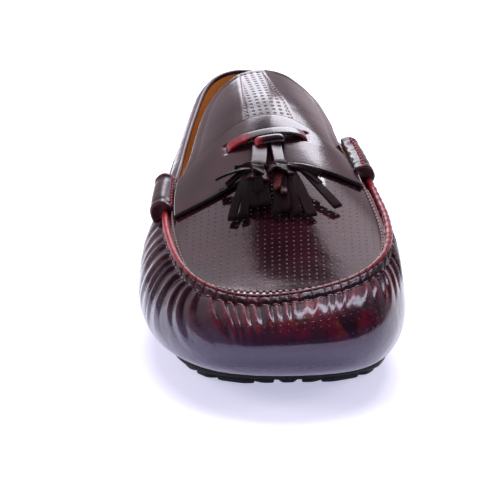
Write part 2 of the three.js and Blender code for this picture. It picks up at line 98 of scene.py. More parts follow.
# Sections round the shoe from the toe by the inner side, the heel and the outer side:
# footX, footY, bellyX, bellyY, bellyZ, rimX, rimY, rimZ, turn
SECTIONS = [
    [9, 6.6, 6, 0, 88, 7, 8.2, 54, 80],
    [31, 7.8, 37, 0.9, 88, 35, 9.1, 57, 80],
    [51, 11, 66, 4.2, 92, 61, 12.0, 61, 78],
    [65, 16.5, 85, 10.5, 96, 78, 17.2, 66, 74],
    [71, 22, 94, 18.9, 100, 82.5, 25.2, 72, 68],
    [72, 28.7, 92, 29.4, 104, 79, 33.6, 78, 62],
    [67, 38.5, 83, 39.2, 112, 73, 42, 85, 58],
    [57, 49, 74, 49.7, 117, 65, 51, 90, 50],
    [48, 59.4, 65, 60.1, 112, 57, 60.1, 88, 45],
    [47, 71.7, 62, 72, 104, 50, 72, 86, 45],
    [48, 83.9, 60, 84.6, 104, 43, 83.9, 88, 45],
    [35, 93, 44, 95.1, 108, 28, 92.3, 95, 45],
    [-4, 96.9, -4, 100, 112, -4, 95.8, 99, 45],
    [-39, 93, -48, 95.1, 108, -33, 92.3, 95, 45],
    [-54, 83.9, -65, 84.6, 100, -46.5, 83.9, 87, 45],
    [-57, 71.7, -72, 72, 96, -55.5, 72, 82, 45],
    [-63, 59.4, -81, 60.1, 96, -62, 60.1, 80, 45],
    [-65, 49, -86, 49.7, 96, -66, 51, 80, 50],
    [-67, 38.5, -93, 39.2, 96, -72, 42, 75, 58],
    [-66, 28.7, -98, 29.4, 92, -76, 33.2, 68, 62],
    [-59, 20.3, -93, 19.2, 88, -73, 24.5, 62, 68],
    [-46, 14, -78, 10.8, 85, -64, 16.8, 57, 74],
    [-31, 9.4, -54, 4.2, 85, -46, 11.5, 53.5, 78],
    [-12, 7.2, -23, 0.9, 85, -20, 8.9, 52, 80],
]
# y, outerX, outerZ, innerX, innerZ, crown
INSTEP_ROWS = [
    [7, -56, 51, 56, 56, 3],
    [15.7, -61, 56, 74, 65, 10],
    [24.5, -73, 62, 84, 71, 30],
    [33.2, -76, 68, 81, 78, 52],
    [42, -74, 75, 73, 85, 75],
    [51.7, -67, 80, 65, 93, 102],
    [59.4, -56, 93, 57, 101, 88],
    [66.4, -44, 104, 48, 107, 70],
]
# y, outerX, innerX
TONGUE_ROWS = [
    [38.5, -72, 72],
    [43.5, -62, 65],
    [48, -56, 60],
    [52.5, -52, 57.5],
    [57, -47, 57],
    [61, -41, 54.5],
    [64, -31, 45],
    [65.5, -18, 28],
    [65.9, -9, 16],
]


# across, front, rear
STRAP_ROWS = [
    [0, 31.4, 40.8],
    [14, 31.9, 43.7],
    [28, 33.2, 46.6],
    [42, 35.2, 48],
    [56, 36.5, 48.2],
    [70, 36.6, 47.3],
    [85, 35.6, 45],
    [100, 34.5, 42],
]


def smooth_through(rows, closed):
    """Cubic B-spline through rows of numbers, as a function of the row's number.

    The control rows solve (before + 4 here + after) / 6 = row, in a ring if closed. An open curve keeps its
    end rows as controls and mirrors the next one past each end."""
    rows = np.asarray(rows, float)
    count = len(rows)
    here = np.arange(count)
    weights = np.eye(count) * 4
    weights[here, (here + 1) % count] += 1
    weights[here, (here - 1) % count] += 1
    if not closed:
        weights[[0, -1]] = np.eye(count)[[0, -1]] * 6
    control = np.linalg.solve(weights, 6 * rows)
    if closed:
        control = np.vstack([control[-1:], control, control[:2]])
    else:
        control = np.vstack([2 * control[0] - control[1], control, 2 * control[-1] - control[-2]])

    def at(u):
        u = np.asarray(u, float)
        u = u % count if closed else u
        i = np.clip(np.floor(u).astype(int), 0, count - (1 if closed else 2))
        t = (u - i)[..., None]
        parts = ((1 - t) ** 3, 3 * t ** 3 - 6 * t ** 2 + 4, -3 * t ** 3 + 3 * t ** 2 + 3 * t + 1, t ** 3)
        return sum(part * control[i + k] for k, part in enumerate(parts)) / 6

    return at


def row_of(rows, value):
    """Row number where a rising first column reaches a value, by straight steps."""
    column = np.asarray(rows, float)[:, 0]
    i = np.clip(np.searchsorted(column, value, side="right") - 1, 0, len(column) - 2)
    return i + (value - column[i]) / (column[i + 1] - column[i])


section_at = smooth_through(SECTIONS, True)
instep_at = smooth_through(INSTEP_ROWS, False)
tongue_at = smooth_through(TONGUE_ROWS, False)
strap_at = smooth_through(STRAP_ROWS, False)


def mix(start, end, share):
    """Straight step between two values."""
    return start + (end - start) * share


def soft_step(low, high, value):
    """0 below low, 1 above high, and 3t^2 - 2t^3 between."""
    t = np.clip((value - low) / (high - low), 0, 1)
    return t * t * (3 - 2 * t)


def bump(value, middle, spread):
    """Bell curve of height 1."""
    return np.exp(-((value - middle) / spread) ** 2)


def unit(vectors):
    """Vectors of length 1 along the last axis."""
    return vectors / np.maximum(np.linalg.norm(vectors, axis=-1, keepdims=True), 1e-12)


def y_at(share):
    """Place along the shoe for a share of its length from the toe."""
    return (share - 0.5) * SHOE_LENGTH


def share_at(y):
    """Share of the length from the toe."""
    return y / SHOE_LENGTH + 0.5


def sole_rise(share):
    """Height of the sole's underside: square law up to the toe and the heel, squared sine under the waist."""
    toe = TOE_SPRING * np.clip(1 - share / TOE_SPRING_END, 0, 1) ** 2
    heel = HEEL_SPRING * np.clip((share - HEEL_SPRING_START) / (1 - HEEL_SPRING_START), 0, 1) ** 2
    waist = np.clip((share - WAIST_FRONT) / (WAIST_REAR - WAIST_FRONT), 0, 1)
    return toe + heel + ARCH_LIFT * np.sin(np.pi * waist) ** 2


def wall_point(u, v):
    """Outer face of the upper. Section number u runs round the shoe; v runs from the foot (0) by the belly (1)
    to the rim (2), as a quarter ellipse below the belly and an arc of the section's turn above it."""
    columns = np.moveaxis(section_at(u), -1, 0)
    foot_x, foot_y, belly_x, belly_y, belly_z, rim_x, rim_y, rim_z, turn = columns
    low = np.clip(v, 0, 1) * np.pi / 2
    full = np.radians(turn)
    high = np.clip(v - 1, 0, 1) * full
    out = np.sin(low)
    up = 1 - np.cos(low)
    back = (1 - np.cos(high)) / (1 - np.cos(full))
    rise = np.sin(high) / np.sin(full)
    x = foot_x + (belly_x - foot_x) * out + (rim_x - belly_x) * back
    y = foot_y + (belly_y - foot_y) * out + (rim_y - belly_y) * back
    foot_z = FOOT_HEIGHT + sole_rise(foot_y * PERCENT)
    belly_top = belly_z * PERCENT * BELLY_HEIGHT + sole_rise(belly_y * PERCENT) * SPRING_AT_BELLY
    rim_top = rim_z * PERCENT * BACK_HEIGHT
    z = foot_z + (belly_top - foot_z) * up + (rim_top - belly_top) * rise
    return np.stack(np.broadcast_arrays(x * PERCENT * HALF_WIDTH, y_at(y * PERCENT), z), -1)


def wall_normal(u, v):
    """Outward normal of the outer face, from small steps round and up."""
    step = 0.01
    inside = np.clip(v, step, 2 - step)
    along = wall_point(u + step, inside) - wall_point(u - step, inside)
    up = wall_point(u, inside + step) - wall_point(u, inside - step)
    return unit(np.cross(along, up))


def instep_height(x, y):
    """Height of the crowned instep: its edges' height mixed across, plus crown (1 - |2a - 1|^power)."""
    columns = np.moveaxis(instep_at(row_of(INSTEP_ROWS, share_at(y) / PERCENT)), -1, 0)
    _, outer_x, outer_z, inner_x, inner_z, crown = columns
    across = (x / HALF_WIDTH / PERCENT - outer_x) / (inner_x - outer_x)
    edge = mix(outer_z, inner_z, across) * PERCENT * BACK_HEIGHT
    return edge + crown * PERCENT * INSTEP_RISE * (1 - np.abs(2 * across - 1) ** CROWN_POWER)


def instep_normal(x, y):
    """Upward normal of the instep, from small steps along x and y."""
    step = 0.5
    slope_x = (instep_height(x + step, y) - instep_height(x - step, y)) / (2 * step)
    slope_y = (instep_height(x, y + step) - instep_height(x, y - step)) / (2 * step)
    return unit(np.stack([-slope_x, -slope_y, np.ones_like(slope_x)], -1))


def instep_point(x, y, lift):
    """Point over plan place x, y, lifted along the instep's normal."""
    x, y, lift = np.broadcast_arrays(np.asarray(x, float), y, lift)
    base = np.stack([x, y, instep_height(x, y)], -1)
    return base + instep_normal(x, y) * lift[..., None]


# Rim of the upper, and its run in millimetres from the middle of the toe
ROUND = np.linspace(0, len(SECTIONS), 2401)
RIM = wall_point(ROUND, 2.0)
RUN = np.concatenate([[0], np.cumsum(np.linalg.norm(np.diff(RIM, axis=0), axis=1))])
RIM_LENGTH = RUN[-1]
MIDDLE_ROW = len(ROUND) // 2


def run_of(u):
    """Run along the rim from the toe, positive on the inner side and negative on the outer side."""
    run = np.interp(u % len(SECTIONS), ROUND, RUN)
    return np.where(run > RIM_LENGTH / 2, run - RIM_LENGTH, run)


def section_of_run(run):
    """Section number at a run along the rim."""
    return np.interp(run % RIM_LENGTH, RUN, ROUND)


def section_of_share(share, inner):
    """Section number where one side of the rim passes a share of the length."""
    half = slice(0, MIDDLE_ROW) if inner else slice(len(ROUND) - 1, MIDDLE_ROW, -1)
    return np.interp(share, share_at(RIM[half, 1]), ROUND[half])


SEAM_END_INNER = section_of_share(SEAM_REAR_INNER, True)
SEAM_END_OUTER = section_of_share(SEAM_REAR_OUTER, False)


def seam_share(u):
    """1 where the rim is the gathered seam and 0 round the collar, with a soft step at both ends."""
    u = u % len(SECTIONS)
    inner = soft_step(0, 0.5, SEAM_END_INNER + 0.25 - u)
    outer = soft_step(0, 0.5, u - SEAM_END_OUTER + 0.25)
    return np.maximum(inner, outer)


def level_at_depth(u, depth):
    """Wall level v at a distance down the wall from the rim, for a column of section numbers and a grid of
    depths, by measuring each section's line and stepping straight between its marks."""
    marks = np.linspace(2, 0, 161)
    line = wall_point(u[:, None], marks[None, :])
    steps = np.linalg.norm(np.diff(line, axis=1), axis=2)
    lengths = np.concatenate([np.zeros((len(u), 1)), np.cumsum(steps, axis=1)], axis=1)
    depth = np.minimum(depth, lengths[:, -1:])
    apart = lengths.max() * 2 * np.arange(len(u))[:, None]
    places = np.interp((depth + apart).ravel(), (lengths + apart).ravel(), np.tile(marks, len(u)))
    return places.reshape(depth.shape), lengths[:, -1]


# Meshes

def grid_quads(rows, columns, wrap_rows=False, wrap_columns=False):
    """Quads of a grid of points, numbered row by row, with its rows or columns joined end to end on request."""
    i = np.arange(rows if wrap_rows else rows - 1)[:, None]
    j = np.arange(columns if wrap_columns else columns - 1)[None, :]
    after_i = (i + 1) % rows
    after_j = (j + 1) % columns
    corners = (i * columns + j, after_i * columns + j, after_i * columns + after_j, i * columns + after_j)
    return np.stack(corners, -1).reshape(-1, 4)


def turned_out(points, faces):
    """Faces of a closed shell, all reversed if the shell's signed volume is negative."""
    volume = 0.0
    for block in faces:
        a = points[block[:, 0]]
        for k in range(1, block.shape[1] - 1):
            volume += np.einsum("ij,ij->", a, np.cross(points[block[:, k]], points[block[:, k + 1]]))
    return faces if volume > 0 else [block[:, ::-1] for block in faces]


def joined(parts):
    """Several shells as one: points stacked, and faces renumbered by the points before them."""
    points = np.concatenate([part[0] for part in parts])
    starts = np.cumsum([0] + [len(part[0]) for part in parts[:-1]])
    faces = [block + start for part, start in zip(parts, starts) for block in part[1]]
    return points, faces


def put(name, shell, material, marks=None, uv=None, slots=None, bevel=0.0):
    """Puts a shell of points in millimetres into the scene as a smooth piece riding on the shoe's body.

    marks are named numbers for each point, uv a pair of millimetres for each point, and slots a material
    number for each face."""
    points, faces = shell
    mesh = bpy.data.meshes.new(name)
    mesh.from_pydata((points * MM).tolist(), [], [face for block in faces for face in block.tolist()])
    mesh.polygons.foreach_set("use_smooth", np.ones(len(mesh.polygons), bool))
    for one in material if isinstance(material, (list, tuple)) else [material]:
        mesh.materials.append(one)
    if slots is not None:
        mesh.polygons.foreach_set("material_index", slots.astype(np.int32))
    for mark, values in (marks or {}).items():
        layer = mesh.attributes.new(mark, "FLOAT", "POINT")
        layer.data.foreach_set("value", np.asarray(values, np.float32).ravel())
    if uv is not None:
        corners = np.empty(len(mesh.loops), np.int32)
        mesh.loops.foreach_get("vertex_index", corners)
        layer = mesh.uv_layers.new(name="Surface")
        layer.data.foreach_set("uv", uv.reshape(-1, 2)[corners].astype(np.float32).ravel())
    mesh.update()
    piece = bpy.data.objects.new(name, mesh)
    bpy.context.scene.collection.objects.link(piece)
    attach(piece, "root")
    return piece


def leaf(top, bottom, nose=1.0, loops=5):
    """A closed sheet between two grids, its border rounded by a half circle.

    Border point at angle a = middle + (top - bottom) / 2 cos a + outward (thickness / 2) nose sin a."""
    rows, columns = top.shape[:2]
    ids = np.arange(rows * columns).reshape(rows, columns)
    border = np.concatenate([ids[0, :-1], ids[:-1, -1], ids[-1, :0:-1], ids[:0:-1, 0]])
    i, j = np.divmod(border, columns)
    near = ids[np.clip(i, 1, rows - 2), np.clip(j, 1, columns - 2)]
    flat_top = top.reshape(-1, 3)
    flat_bottom = bottom.reshape(-1, 3)
    across = flat_top[border] - flat_bottom[border]
    thickness = np.linalg.norm(across, axis=1, keepdims=True)
    outward = flat_top[border] - flat_top[near]
    outward -= across * np.sum(outward * across, axis=1, keepdims=True) / np.maximum(thickness, 1e-9) ** 2
    outward = unit(outward)
    middle = (flat_top[border] + flat_bottom[border]) / 2
    turns = np.pi * np.arange(1, loops)[:, None, None] / loops
    edge = middle + across / 2 * np.cos(turns) + outward * thickness / 2 * nose * np.sin(turns)
    points = np.concatenate([flat_top, flat_bottom, edge.reshape(-1, 3)])
    size = rows * columns
    length = len(border)
    rings = [border] + [2 * size + k * length + np.arange(length) for k in range(loops - 1)] + [border + size]
    strips = []
    for first, second in zip(rings[:-1], rings[1:]):
        strips.append(np.stack([first, second, np.roll(second, -1), np.roll(first, -1)], -1))
    faces = [grid_quads(rows, columns), grid_quads(rows, columns)[:, ::-1] + size, *strips]
    return points, turned_out(points, faces), border


def leaf_marks(values, border, loops=5):
    """Numbers of a leaf's grid, repeated for its lower side and its rounded border."""
    flat = values.reshape(-1, *values.shape[2:])
    return np.concatenate([flat, flat] + [flat[border]] * (loops - 1))


def tube(path, across, up, profile, sizes=1.0, closed=False):
    """Profile carried along a path: point = path + size (across px + up py), with both ends closed by a fan,
    or the path joined to itself if closed."""
    path = np.asarray(path, float)
    sizes = np.broadcast_to(np.asarray(sizes, float), (len(path),))[:, None, None]
    spread = across[:, None, :] * profile[None, :, :1] + up[:, None, :] * profile[None, :, 1:]
    grid = path[:, None, :] + spread * sizes
    count = len(profile)
    points = grid.reshape(-1, 3)
    faces = [grid_quads(len(path), count, wrap_rows=closed, wrap_columns=True)]
    if not closed:
        first = len(points)
        points = np.concatenate([points, grid[0].mean(0)[None], grid[-1].mean(0)[None]])
        loop = np.arange(count)
        after = (loop + 1) % count
        last = (len(path) - 1) * count
        faces.append(np.stack([np.full(count, first), loop, after], -1))
        faces.append(np.stack([np.full(count, first + 1), last + after, last + loop], -1))
    return points, turned_out(points, faces)


def round_profile(count, wide=1.0, high=1.0):
    """Ellipse of count points."""
    angle = 2 * np.pi * np.arange(count) / count
    return np.stack([np.cos(angle) * wide, np.sin(angle) * high], -1)


def strap_profile(width, thickness, count=12, power=0.35):
    """Rounded bar: signed powers of cosine and sine, so that low powers give squarer corners."""
    angle = 2 * np.pi * (np.arange(count) + 0.5) / count
    c, s = np.cos(angle), np.sin(angle)
    wide = np.sign(c) * np.abs(c) ** power * width / 2
    high = np.sign(s) * np.abs(s) ** power * thickness / 2
    return np.stack([wide, high], -1)


def frames(path, up):
    """Across and up vectors square to a path, from rough up vectors."""
    along = unit(np.gradient(path, axis=0))
    across = unit(np.cross(along, up))
    return across, unit(np.cross(across, along))


def stitches(centres, along, up, length, radius, sides=6):
    """Short round-ended threads, one for each centre: four rings of a capsule and its two tips, carried by each
    thread's along, across and up vectors."""
    along = unit(along)
    across = unit(np.cross(along, up))
    up = np.cross(across, along)
    reach = np.repeat([-0.9, -0.6, 0.6, 0.9], sides) * np.ones(4 * sides)
    wide = np.repeat([0.6, 1.0, 1.0, 0.6], sides)
    sink = np.repeat([-0.55, 0.0, 0.0, -0.55], sides)
    angle = np.tile(2 * np.pi * np.arange(sides) / sides, 4)
    shape = np.stack([reach, np.cos(angle) * wide, np.sin(angle) * wide + sink], -1)
    shape = np.concatenate([shape, [[-1.0, 0, -1.0], [1.0, 0, -1.0]]])
    length = np.broadcast_to(np.asarray(length, float), (len(centres),))[:, None, None]
    points = (centres[:, None, :] + along[:, None, :] * shape[None, :, :1] * length / 2
              + (across[:, None, :] * shape[None, :, 1:2] + up[:, None, :] * shape[None, :, 2:]) * radius)
    loop = np.arange(sides)
    after = (loop + 1) % sides
    tips = 4 * sides
    quads = grid_quads(4, sides, wrap_columns=True)
    caps = np.concatenate([
        np.stack([np.full(sides, tips), loop, after], -1),
        np.stack([np.full(sides, tips + 1), 3 * sides + after, 3 * sides + loop], -1)])
    size = len(shape)
    starts = (np.arange(len(centres)) * size)[:, None, None]
    flat = points.reshape(-1, 3)
    faces = [(quads[None] + starts).reshape(-1, 4), (caps[None] + starts).reshape(-1, 3)]
    return flat, turned_out(flat, faces)


def spaced_along(line, pitch):
    """Points and directions at even runs along a line of points."""
    run = np.concatenate([[0], np.cumsum(np.linalg.norm(np.diff(line, axis=0), axis=1))])
    marks = np.arange(pitch / 2, run[-1], pitch)
    here = np.stack([np.interp(marks, run, line[:, k]) for k in range(3)], -1)
    ahead = np.stack([np.interp(marks + 0.2, run, line[:, k]) for k in range(3)], -1)
    return here, unit(ahead - here + 1e-9)


# Upper: wall, gathered seam, collar and lining

rng = np.random.default_rng(11)
PLEAT_SIZE = rng.uniform(0.62, 1.18, 400)
PLEAT_REACH = rng.uniform(0.7, 1.15, 400)
PLEAT_LEAN = rng.uniform(-1, 1, 400)


# Pleats along the rim: distance from the toe, their pitch on both sides, and how their lines bend on the outer
# side, as a drift towards the heel and a square term towards the toe, both per millimetre below the seam
PLEAT_TABLE = [
    # run, pitch outer, pitch inner, drift, bend
    (0, 4.0, 4.0, 0.0, 0.0),
    (15, 4.1, 4.0, -0.12, 0.004),
    (22, 4.3, 4.0, -0.2, 0.01),
    (29, 4.8, 4.0, 0.0, 0.017),
    (37, 5.3, 4.1, 0.3, 0.02),
    (43, 5.6, 4.2, 0.42, 0.021),
    (52, 5.8, 4.3, 0.62, 0.022),
    (60, 6.0, 4.5, 0.66, 0.0148),
    (80, 7.6, 5.0, 0.55, 0.004),
    (110, 8.0, 5.4, 0.5, 0.0),
    (220, 8.0, 5.4, 0.5, 0.0),
]
PLEAT_RUN, OUTER_PITCH, INNER_PITCH, PLEAT_DRIFT, PLEAT_BEND = np.array(PLEAT_TABLE, float).T
COUNTED_RUN = np.linspace(-220, 220, 1761)
COUNTED_PITCH = np.where(COUNTED_RUN < 0, np.interp(-COUNTED_RUN, PLEAT_RUN, OUTER_PITCH),
                         np.interp(COUNTED_RUN, PLEAT_RUN, INNER_PITCH))
COUNTED = np.concatenate([[0], np.cumsum(np.diff(COUNTED_RUN) / COUNTED_PITCH[1:])])
COUNTED -= np.interp(0, COUNTED_RUN, COUNTED)


def band_scale(run):
    """Width of the seam's band: full over the toe, half along both sides."""
    return np.interp(run, [-62, -26, 34, 80], [0.5, 1.0, 1.0, 0.62])


def pleat_phase(run, depth):
    """Number of pleats from the toe at a place: the run carried back up its pleat's bent line, with a slow uneven
    step, over the pitch."""
    below = np.maximum(depth - 4, 0)
    size = np.abs(run)
    bent = np.interp(size, PLEAT_RUN, PLEAT_DRIFT) * below - np.interp(size, PLEAT_RUN, PLEAT_BEND) * below ** 2
    place = run - np.sign(run) * bent
    uneven = place + 0.75 * np.sin(place * 0.31 + 1) + 0.3 * np.sin(place * 0.83)
    return np.interp(uneven, COUNTED_RUN, COUNTED)


def pleat_ridge(run, phase):
    """Section of a pleat from 0 to 1: a half sine to the power 0.8 with a thin fold on its crest. The crest is moved towards the toe along both
    sides, so the fold's toe side is steep."""
    crest = 0.5 - 0.15 * np.tanh(run / 22)
    share = phase - np.floor(phase)
    swell = np.sin(np.pi * share ** (np.log(0.5) / np.log(crest))) ** 0.8
    return swell + 0.2 * (bump(share, crest, 0.09) - 0.5)


def pleat_height(run, depth):
    """Height of the gathers. Each pleat rises below the seam's band, has a strength and reach of its own, and
    fades at its end."""
    phase = pleat_phase(run, depth)
    number = np.floor(phase).astype(int) + 200
    reach = np.interp(run, [-170, -110, -60, -34, -20, -8, 2, 28, 40, 56, 110, 170],
                      [20, 30, 36, 34, 28, 19, 15, 15, 18, 24, 26, 18]) * PLEAT_REACH[number]
    strength = np.interp(run, [-170, -120, -40, -10, 5, 30, 45, 110, 170],
                         [0.3, 0.8, 0.95, 0.95, 0.95, 1.0, 1.1, 0.9, 0.25]) * PLEAT_SIZE[number]
    start = band_scale(run)
    rise = soft_step(5.0 * start, 5.0 * start + 2, depth)
    fade = 1 - soft_step(0.35, 1.0, (depth - 5.5) / reach)
    ridge = pleat_ridge(run, phase)
    fine = 0.12 * np.abs(np.sin(2 * np.pi * phase + PLEAT_LEAN[number])) * bump(depth, 8, 4)
    return (ridge * strength * fade + fine * fade) * rise - 0.28 * fade * rise


def seam_profile(depth):
    """Height of the raised seam by distance from the rim: a rounded band, then the thread's groove."""
    knots = [0, 0.7, 1.5, 2.4, 3.4, 4.4, 5.0, 5.6, 6.4, 7.6]
    heights = [0.9, 1.3, 1.5, 1.55, 1.45, 1.1, 0.4, -0.1, 0.1, 0.0]
    return np.interp(depth, knots, heights)


def seam_blocks(run, depth):
    """Puffed blocks between the whip threads, in step with the pleats, with a small uneven ripple."""
    swell = np.abs(np.sin(np.pi * pleat_phase(run, 0 * depth))) ** 0.5
    uneven = 0.1 * np.sin(2.1 * run + 1.7 * depth) * bump(depth, 3, 2)
    return 0.75 * (swell - 0.6) * bump(depth, 3.3, 1.5) + uneven


def wall_relief(u, run, depth, length):
    """Everything raised on the wall: seam, blocks and pleats at the toe; padded topline, its groove and the back
    strip round the collar."""
    seam = seam_share(u)
    across = depth / band_scale(run)
    gathers = seam * (seam_profile(across) + seam_blocks(run, across) + pleat_height(run, depth))
    collar = (1 - seam) * (0.75 * bump(depth, 3.0, 2.6) - 0.45 * bump(depth, 7.2, 0.8))
    from_heel = np.abs(np.abs(run) - RIM_LENGTH / 2)
    strip = 0.55 * (1 - soft_step(7.0, 8.2, from_heel + 0.05 * depth)) * soft_step(7.5, 9, depth)
    return gathers + collar + strip * (1 - seam)


def upper_skin():
    """The upper as one ring. Columns stand at even runs round the rim, fine along the gathers. Each column goes
    down the wall from the rim, in under the foot, and back up the lining to the rounded rim."""
    gathered = 158.0
    fine = np.arange(-gathered, gathered, 0.44)
    coarse = np.linspace(gathered, RIM_LENGTH - gathered, 150, endpoint=False)
    run = np.concatenate([fine, coarse])
    u = section_of_run(run)
    signed = run_of(u)[:, None]
    near = np.arange(0, 8.0, 0.4)
    ease = np.linspace(0, 1, 40)[1:] ** 0.92
    _, length = level_at_depth(u, np.zeros((len(u), 1)))
    depth = np.concatenate([np.tile(near, (len(u), 1)), 7.6 + (length[:, None] - 7.6) * ease], axis=1)
    level, _ = level_at_depth(u, depth)
    column = u[:, None]
    raised = wall_relief(column, signed, depth, length[:, None])
    normal = wall_normal(column, level)
    outside = wall_point(column, level) + normal * raised[..., None]
    rim_normal = wall_normal(u, np.full(len(u), 2.0))
    lip = unit(wall_point(u, 2.0) - wall_point(u, 1.99))
    reach = mix(1.15, 0.35, seam_share(u))[:, None, None]
    turns = (np.pi * np.arange(1, 7) / 7)[None, :, None]
    start = outside[:, :1]
    end = (wall_point(u, 2.0) - rim_normal * LEATHER)[:, None, :]
    arc = (start + end) / 2 + (start - end) / 2 * np.cos(turns) + lip[:, None, :] * reach * np.sin(turns)
    inner_levels = np.array([2, 1.9, 1.8, 1.6, 1.4, 1.2, 1.0, 0.8, 0.6, 0.4, 0.25, 0.12, 0.0])[None, :]
    inside = wall_point(column, inner_levels) - wall_normal(column, inner_levels) * LEATHER
    foot = wall_point(u, 0.0)
    around = unit((wall_point(u + 0.02, 0.0) - wall_point(u - 0.02, 0.0)) * [1, 1, 0])
    edge = foot + np.stack([-around[:, 1], around[:, 0], 0 * u], -1) * MARGIN_WIDTH
    edge[:, 2] = FOOT_HEIGHT + sole_rise(share_at(edge[:, 1]))
    top_edge = edge + [0, 0, LEATHER]
    grid = np.concatenate([edge[:, None], outside[:, ::-1], arc, inside, top_edge[:, None]], axis=1)
    rows, columns = grid.shape[:2]
    faces = [grid_quads(rows, columns, wrap_rows=True, wrap_columns=True)]
    points = grid.reshape(-1, 3)
    outer_count = outside.shape[1]

    def over_grid(values, rest=0.0):
        block = np.full((rows, columns), float(rest))
        block[:, 1:1 + outer_count] = values[:, ::-1]
        block[:, 1 + outer_count:4 + outer_count] = values[:, :1]
        return block

    seam = seam_share(column)
    phase = pleat_phase(signed, depth)
    ridge = pleat_ridge(signed, phase)
    across = depth / band_scale(signed)
    reach_mark = np.interp(signed, [-170, -60, -20, 0, 30, 60, 170], [30, 34, 26, 12, 10, 24, 20])
    on_pleats = seam * soft_step(5.2, 6.5, depth) * (1 - soft_step(0.5, 1.1, (depth - 5.5) / reach_mark))
    band = seam * soft_step(1.0, 1.6, across) * (1 - soft_step(5.2, 5.9, across))
    wear = on_pleats * soft_step(0.72, 1.0, ridge) * np.interp(signed, [-60, -36, -20, 12, 30, 60], [0.02, 0.15, 0.6, 0.5, 0.3, 0.1])
    wear += seam * bump(depth, 0.9, 0.6) * 0.3 + band * bump(signed, -10, 40) * soft_step(0.75, 0.2, ridge) * 0.6
    wear += (1 - seam) * bump(depth, 0, 0.8) * 0.2
    patchy = np.clip(np.sin(0.8 * signed) + np.sin(0.37 * signed + 1.3), 0, 1)
    wear += band * bump(signed, 0, 34) * patchy * 0.5
    fire = bump(signed, 12, 34) * soft_step(5, 8, depth) * (1 - soft_step(24, 38, depth))
    fire = np.maximum(fire, 0.6 * bump(signed, -14, 10) * soft_step(5, 7, depth) * (1 - soft_step(12, 26, depth)))
    uv = np.zeros((rows, columns, 2))
    uv[..., 0] = signed
    uv[..., 1] = over_grid(depth, 90)
    slot = np.zeros((rows, columns), int)
    slot[:, 7 + outer_count:] = 1
    slot[seam_share(u) > 0.3, :11 + outer_count] = 0
    marks = {"rub": over_grid(np.clip(wear, 0, 1)), "ember": over_grid(fire * seam),
             "dull": over_grid(np.maximum(band * 0.6, 0.55 - 0.55 * soft_step(0.6, 1.6, depth))), "holes": over_grid(seam * soft_step(8, 13, depth) * 0.2)}
    return (points, turned_out(points, faces)), marks, uv, slot.ravel()


def on_wall(run, depth, lift):
    """Points and outward normals on the wall at runs along the rim and depths below it."""
    u = section_of_run(run)
    level, _ = level_at_depth(u, np.asarray(depth, float).reshape(-1, 1) * np.ones((len(u), 1)))
    normal = wall_normal(u, level[:, 0])
    return wall_point(u, level[:, 0]) + normal * np.asarray(lift, float).reshape(-1, 1), normal


SEAM_RUN_INNER = float(run_of(SEAM_END_INNER))
SEAM_RUN_OUTER = float(run_of(SEAM_END_OUTER))


def seam_cord():
    """Rolled edge of the toe leather, carried along the top of the seam; thicker along both sides than over the
    toe, with a small swell between whip threads."""
    run = np.arange(SEAM_RUN_OUTER - 6, SEAM_RUN_INNER + 6, 0.65)
    thick = np.interp(run, [-150, -60, -25, 30, 60, 150], [1.15, 1.2, 0.8, 0.8, 1.25, 1.3])
    swell = 1 + np.interp(run, [-20, 40], [0.09, 0.25]) * np.abs(np.sin(np.pi * pleat_phase(run, 0 * run)))
    path, normal = on_wall(run, 0.3, 1.25)
    across, up = frames(path, normal)
    shell = tube(path, across, up, round_profile(12), thick * swell)
    return shell, np.repeat(run, 12)


def valley_runs():
    """Runs where the pleats' phase passes whole numbers."""
    run = np.arange(SEAM_RUN_OUTER + 2, SEAM_RUN_INNER - 2, 0.02)
    phase = np.floor(pleat_phase(run, 0 * run))
    return run[1:][np.diff(phase) > 0]


def whip_threads():
    """Threads over the seam in each valley: an arch from the cord's foot to the groove below the band."""
    across_seam = np.linspace(-0.6, 5.3, 7)
    lifts = np.interp(across_seam, [-0.6, 0.4, 1.6, 3.2, 4.5, 5.3], [1.1, 2.35, 1.95, 1.75, 1.2, 0.1])
    parts = []
    for run in valley_runs():
        path, normal = on_wall(np.full(7, run), np.maximum(across_seam, 0) * band_scale(run), lifts)
        u = section_of_run(np.array([run]))
        lip = unit(wall_point(u, 2.0) - wall_point(u, 1.99))
        path += lip * np.maximum(-across_seam, 0)[:, None]
        across, up = frames(path, normal)
        parts.append(tube(path, across, up, round_profile(6), 0.24))
    return joined(parts)


def groove_threads():
    """Short threads in the groove below the band: one on each pleat over the toe, closer along both sides."""
    valleys = valley_runs()
    middle = (valleys[1:] + valleys[:-1]) / 2
    middle = np.concatenate([np.arange(SEAM_RUN_OUTER + 3, -46, 2.6), middle[np.abs(middle) < 44],
                             np.arange(46, SEAM_RUN_INNER - 3, 2.6)])
    down = 5.5 * band_scale(middle)[:, None]
    centres, normal = on_wall(middle, down, 0.3)
    ahead, _ = on_wall(middle + 0.3, down, 0.3)
    return stitches(centres, ahead - centres, normal, 1.9, 0.22)


MOUTH = wall_point(ROUND[:-1], 2.0) - wall_normal(ROUND[:-1], 2.0 + 0 * ROUND[:-1]) * LEATHER


def moved_in(outline, distance):
    """Plan outline moved inwards along its normals."""
    along = unit((np.roll(outline, -1, axis=0) - np.roll(outline, 1, axis=0)) * [1, 1, 0])
    return outline + np.stack([-along[:, 1], along[:, 0], 0 * along[:, 0]], -1) * distance


APRON_OUTLINE = moved_in(MOUTH, SEAT_GAP)


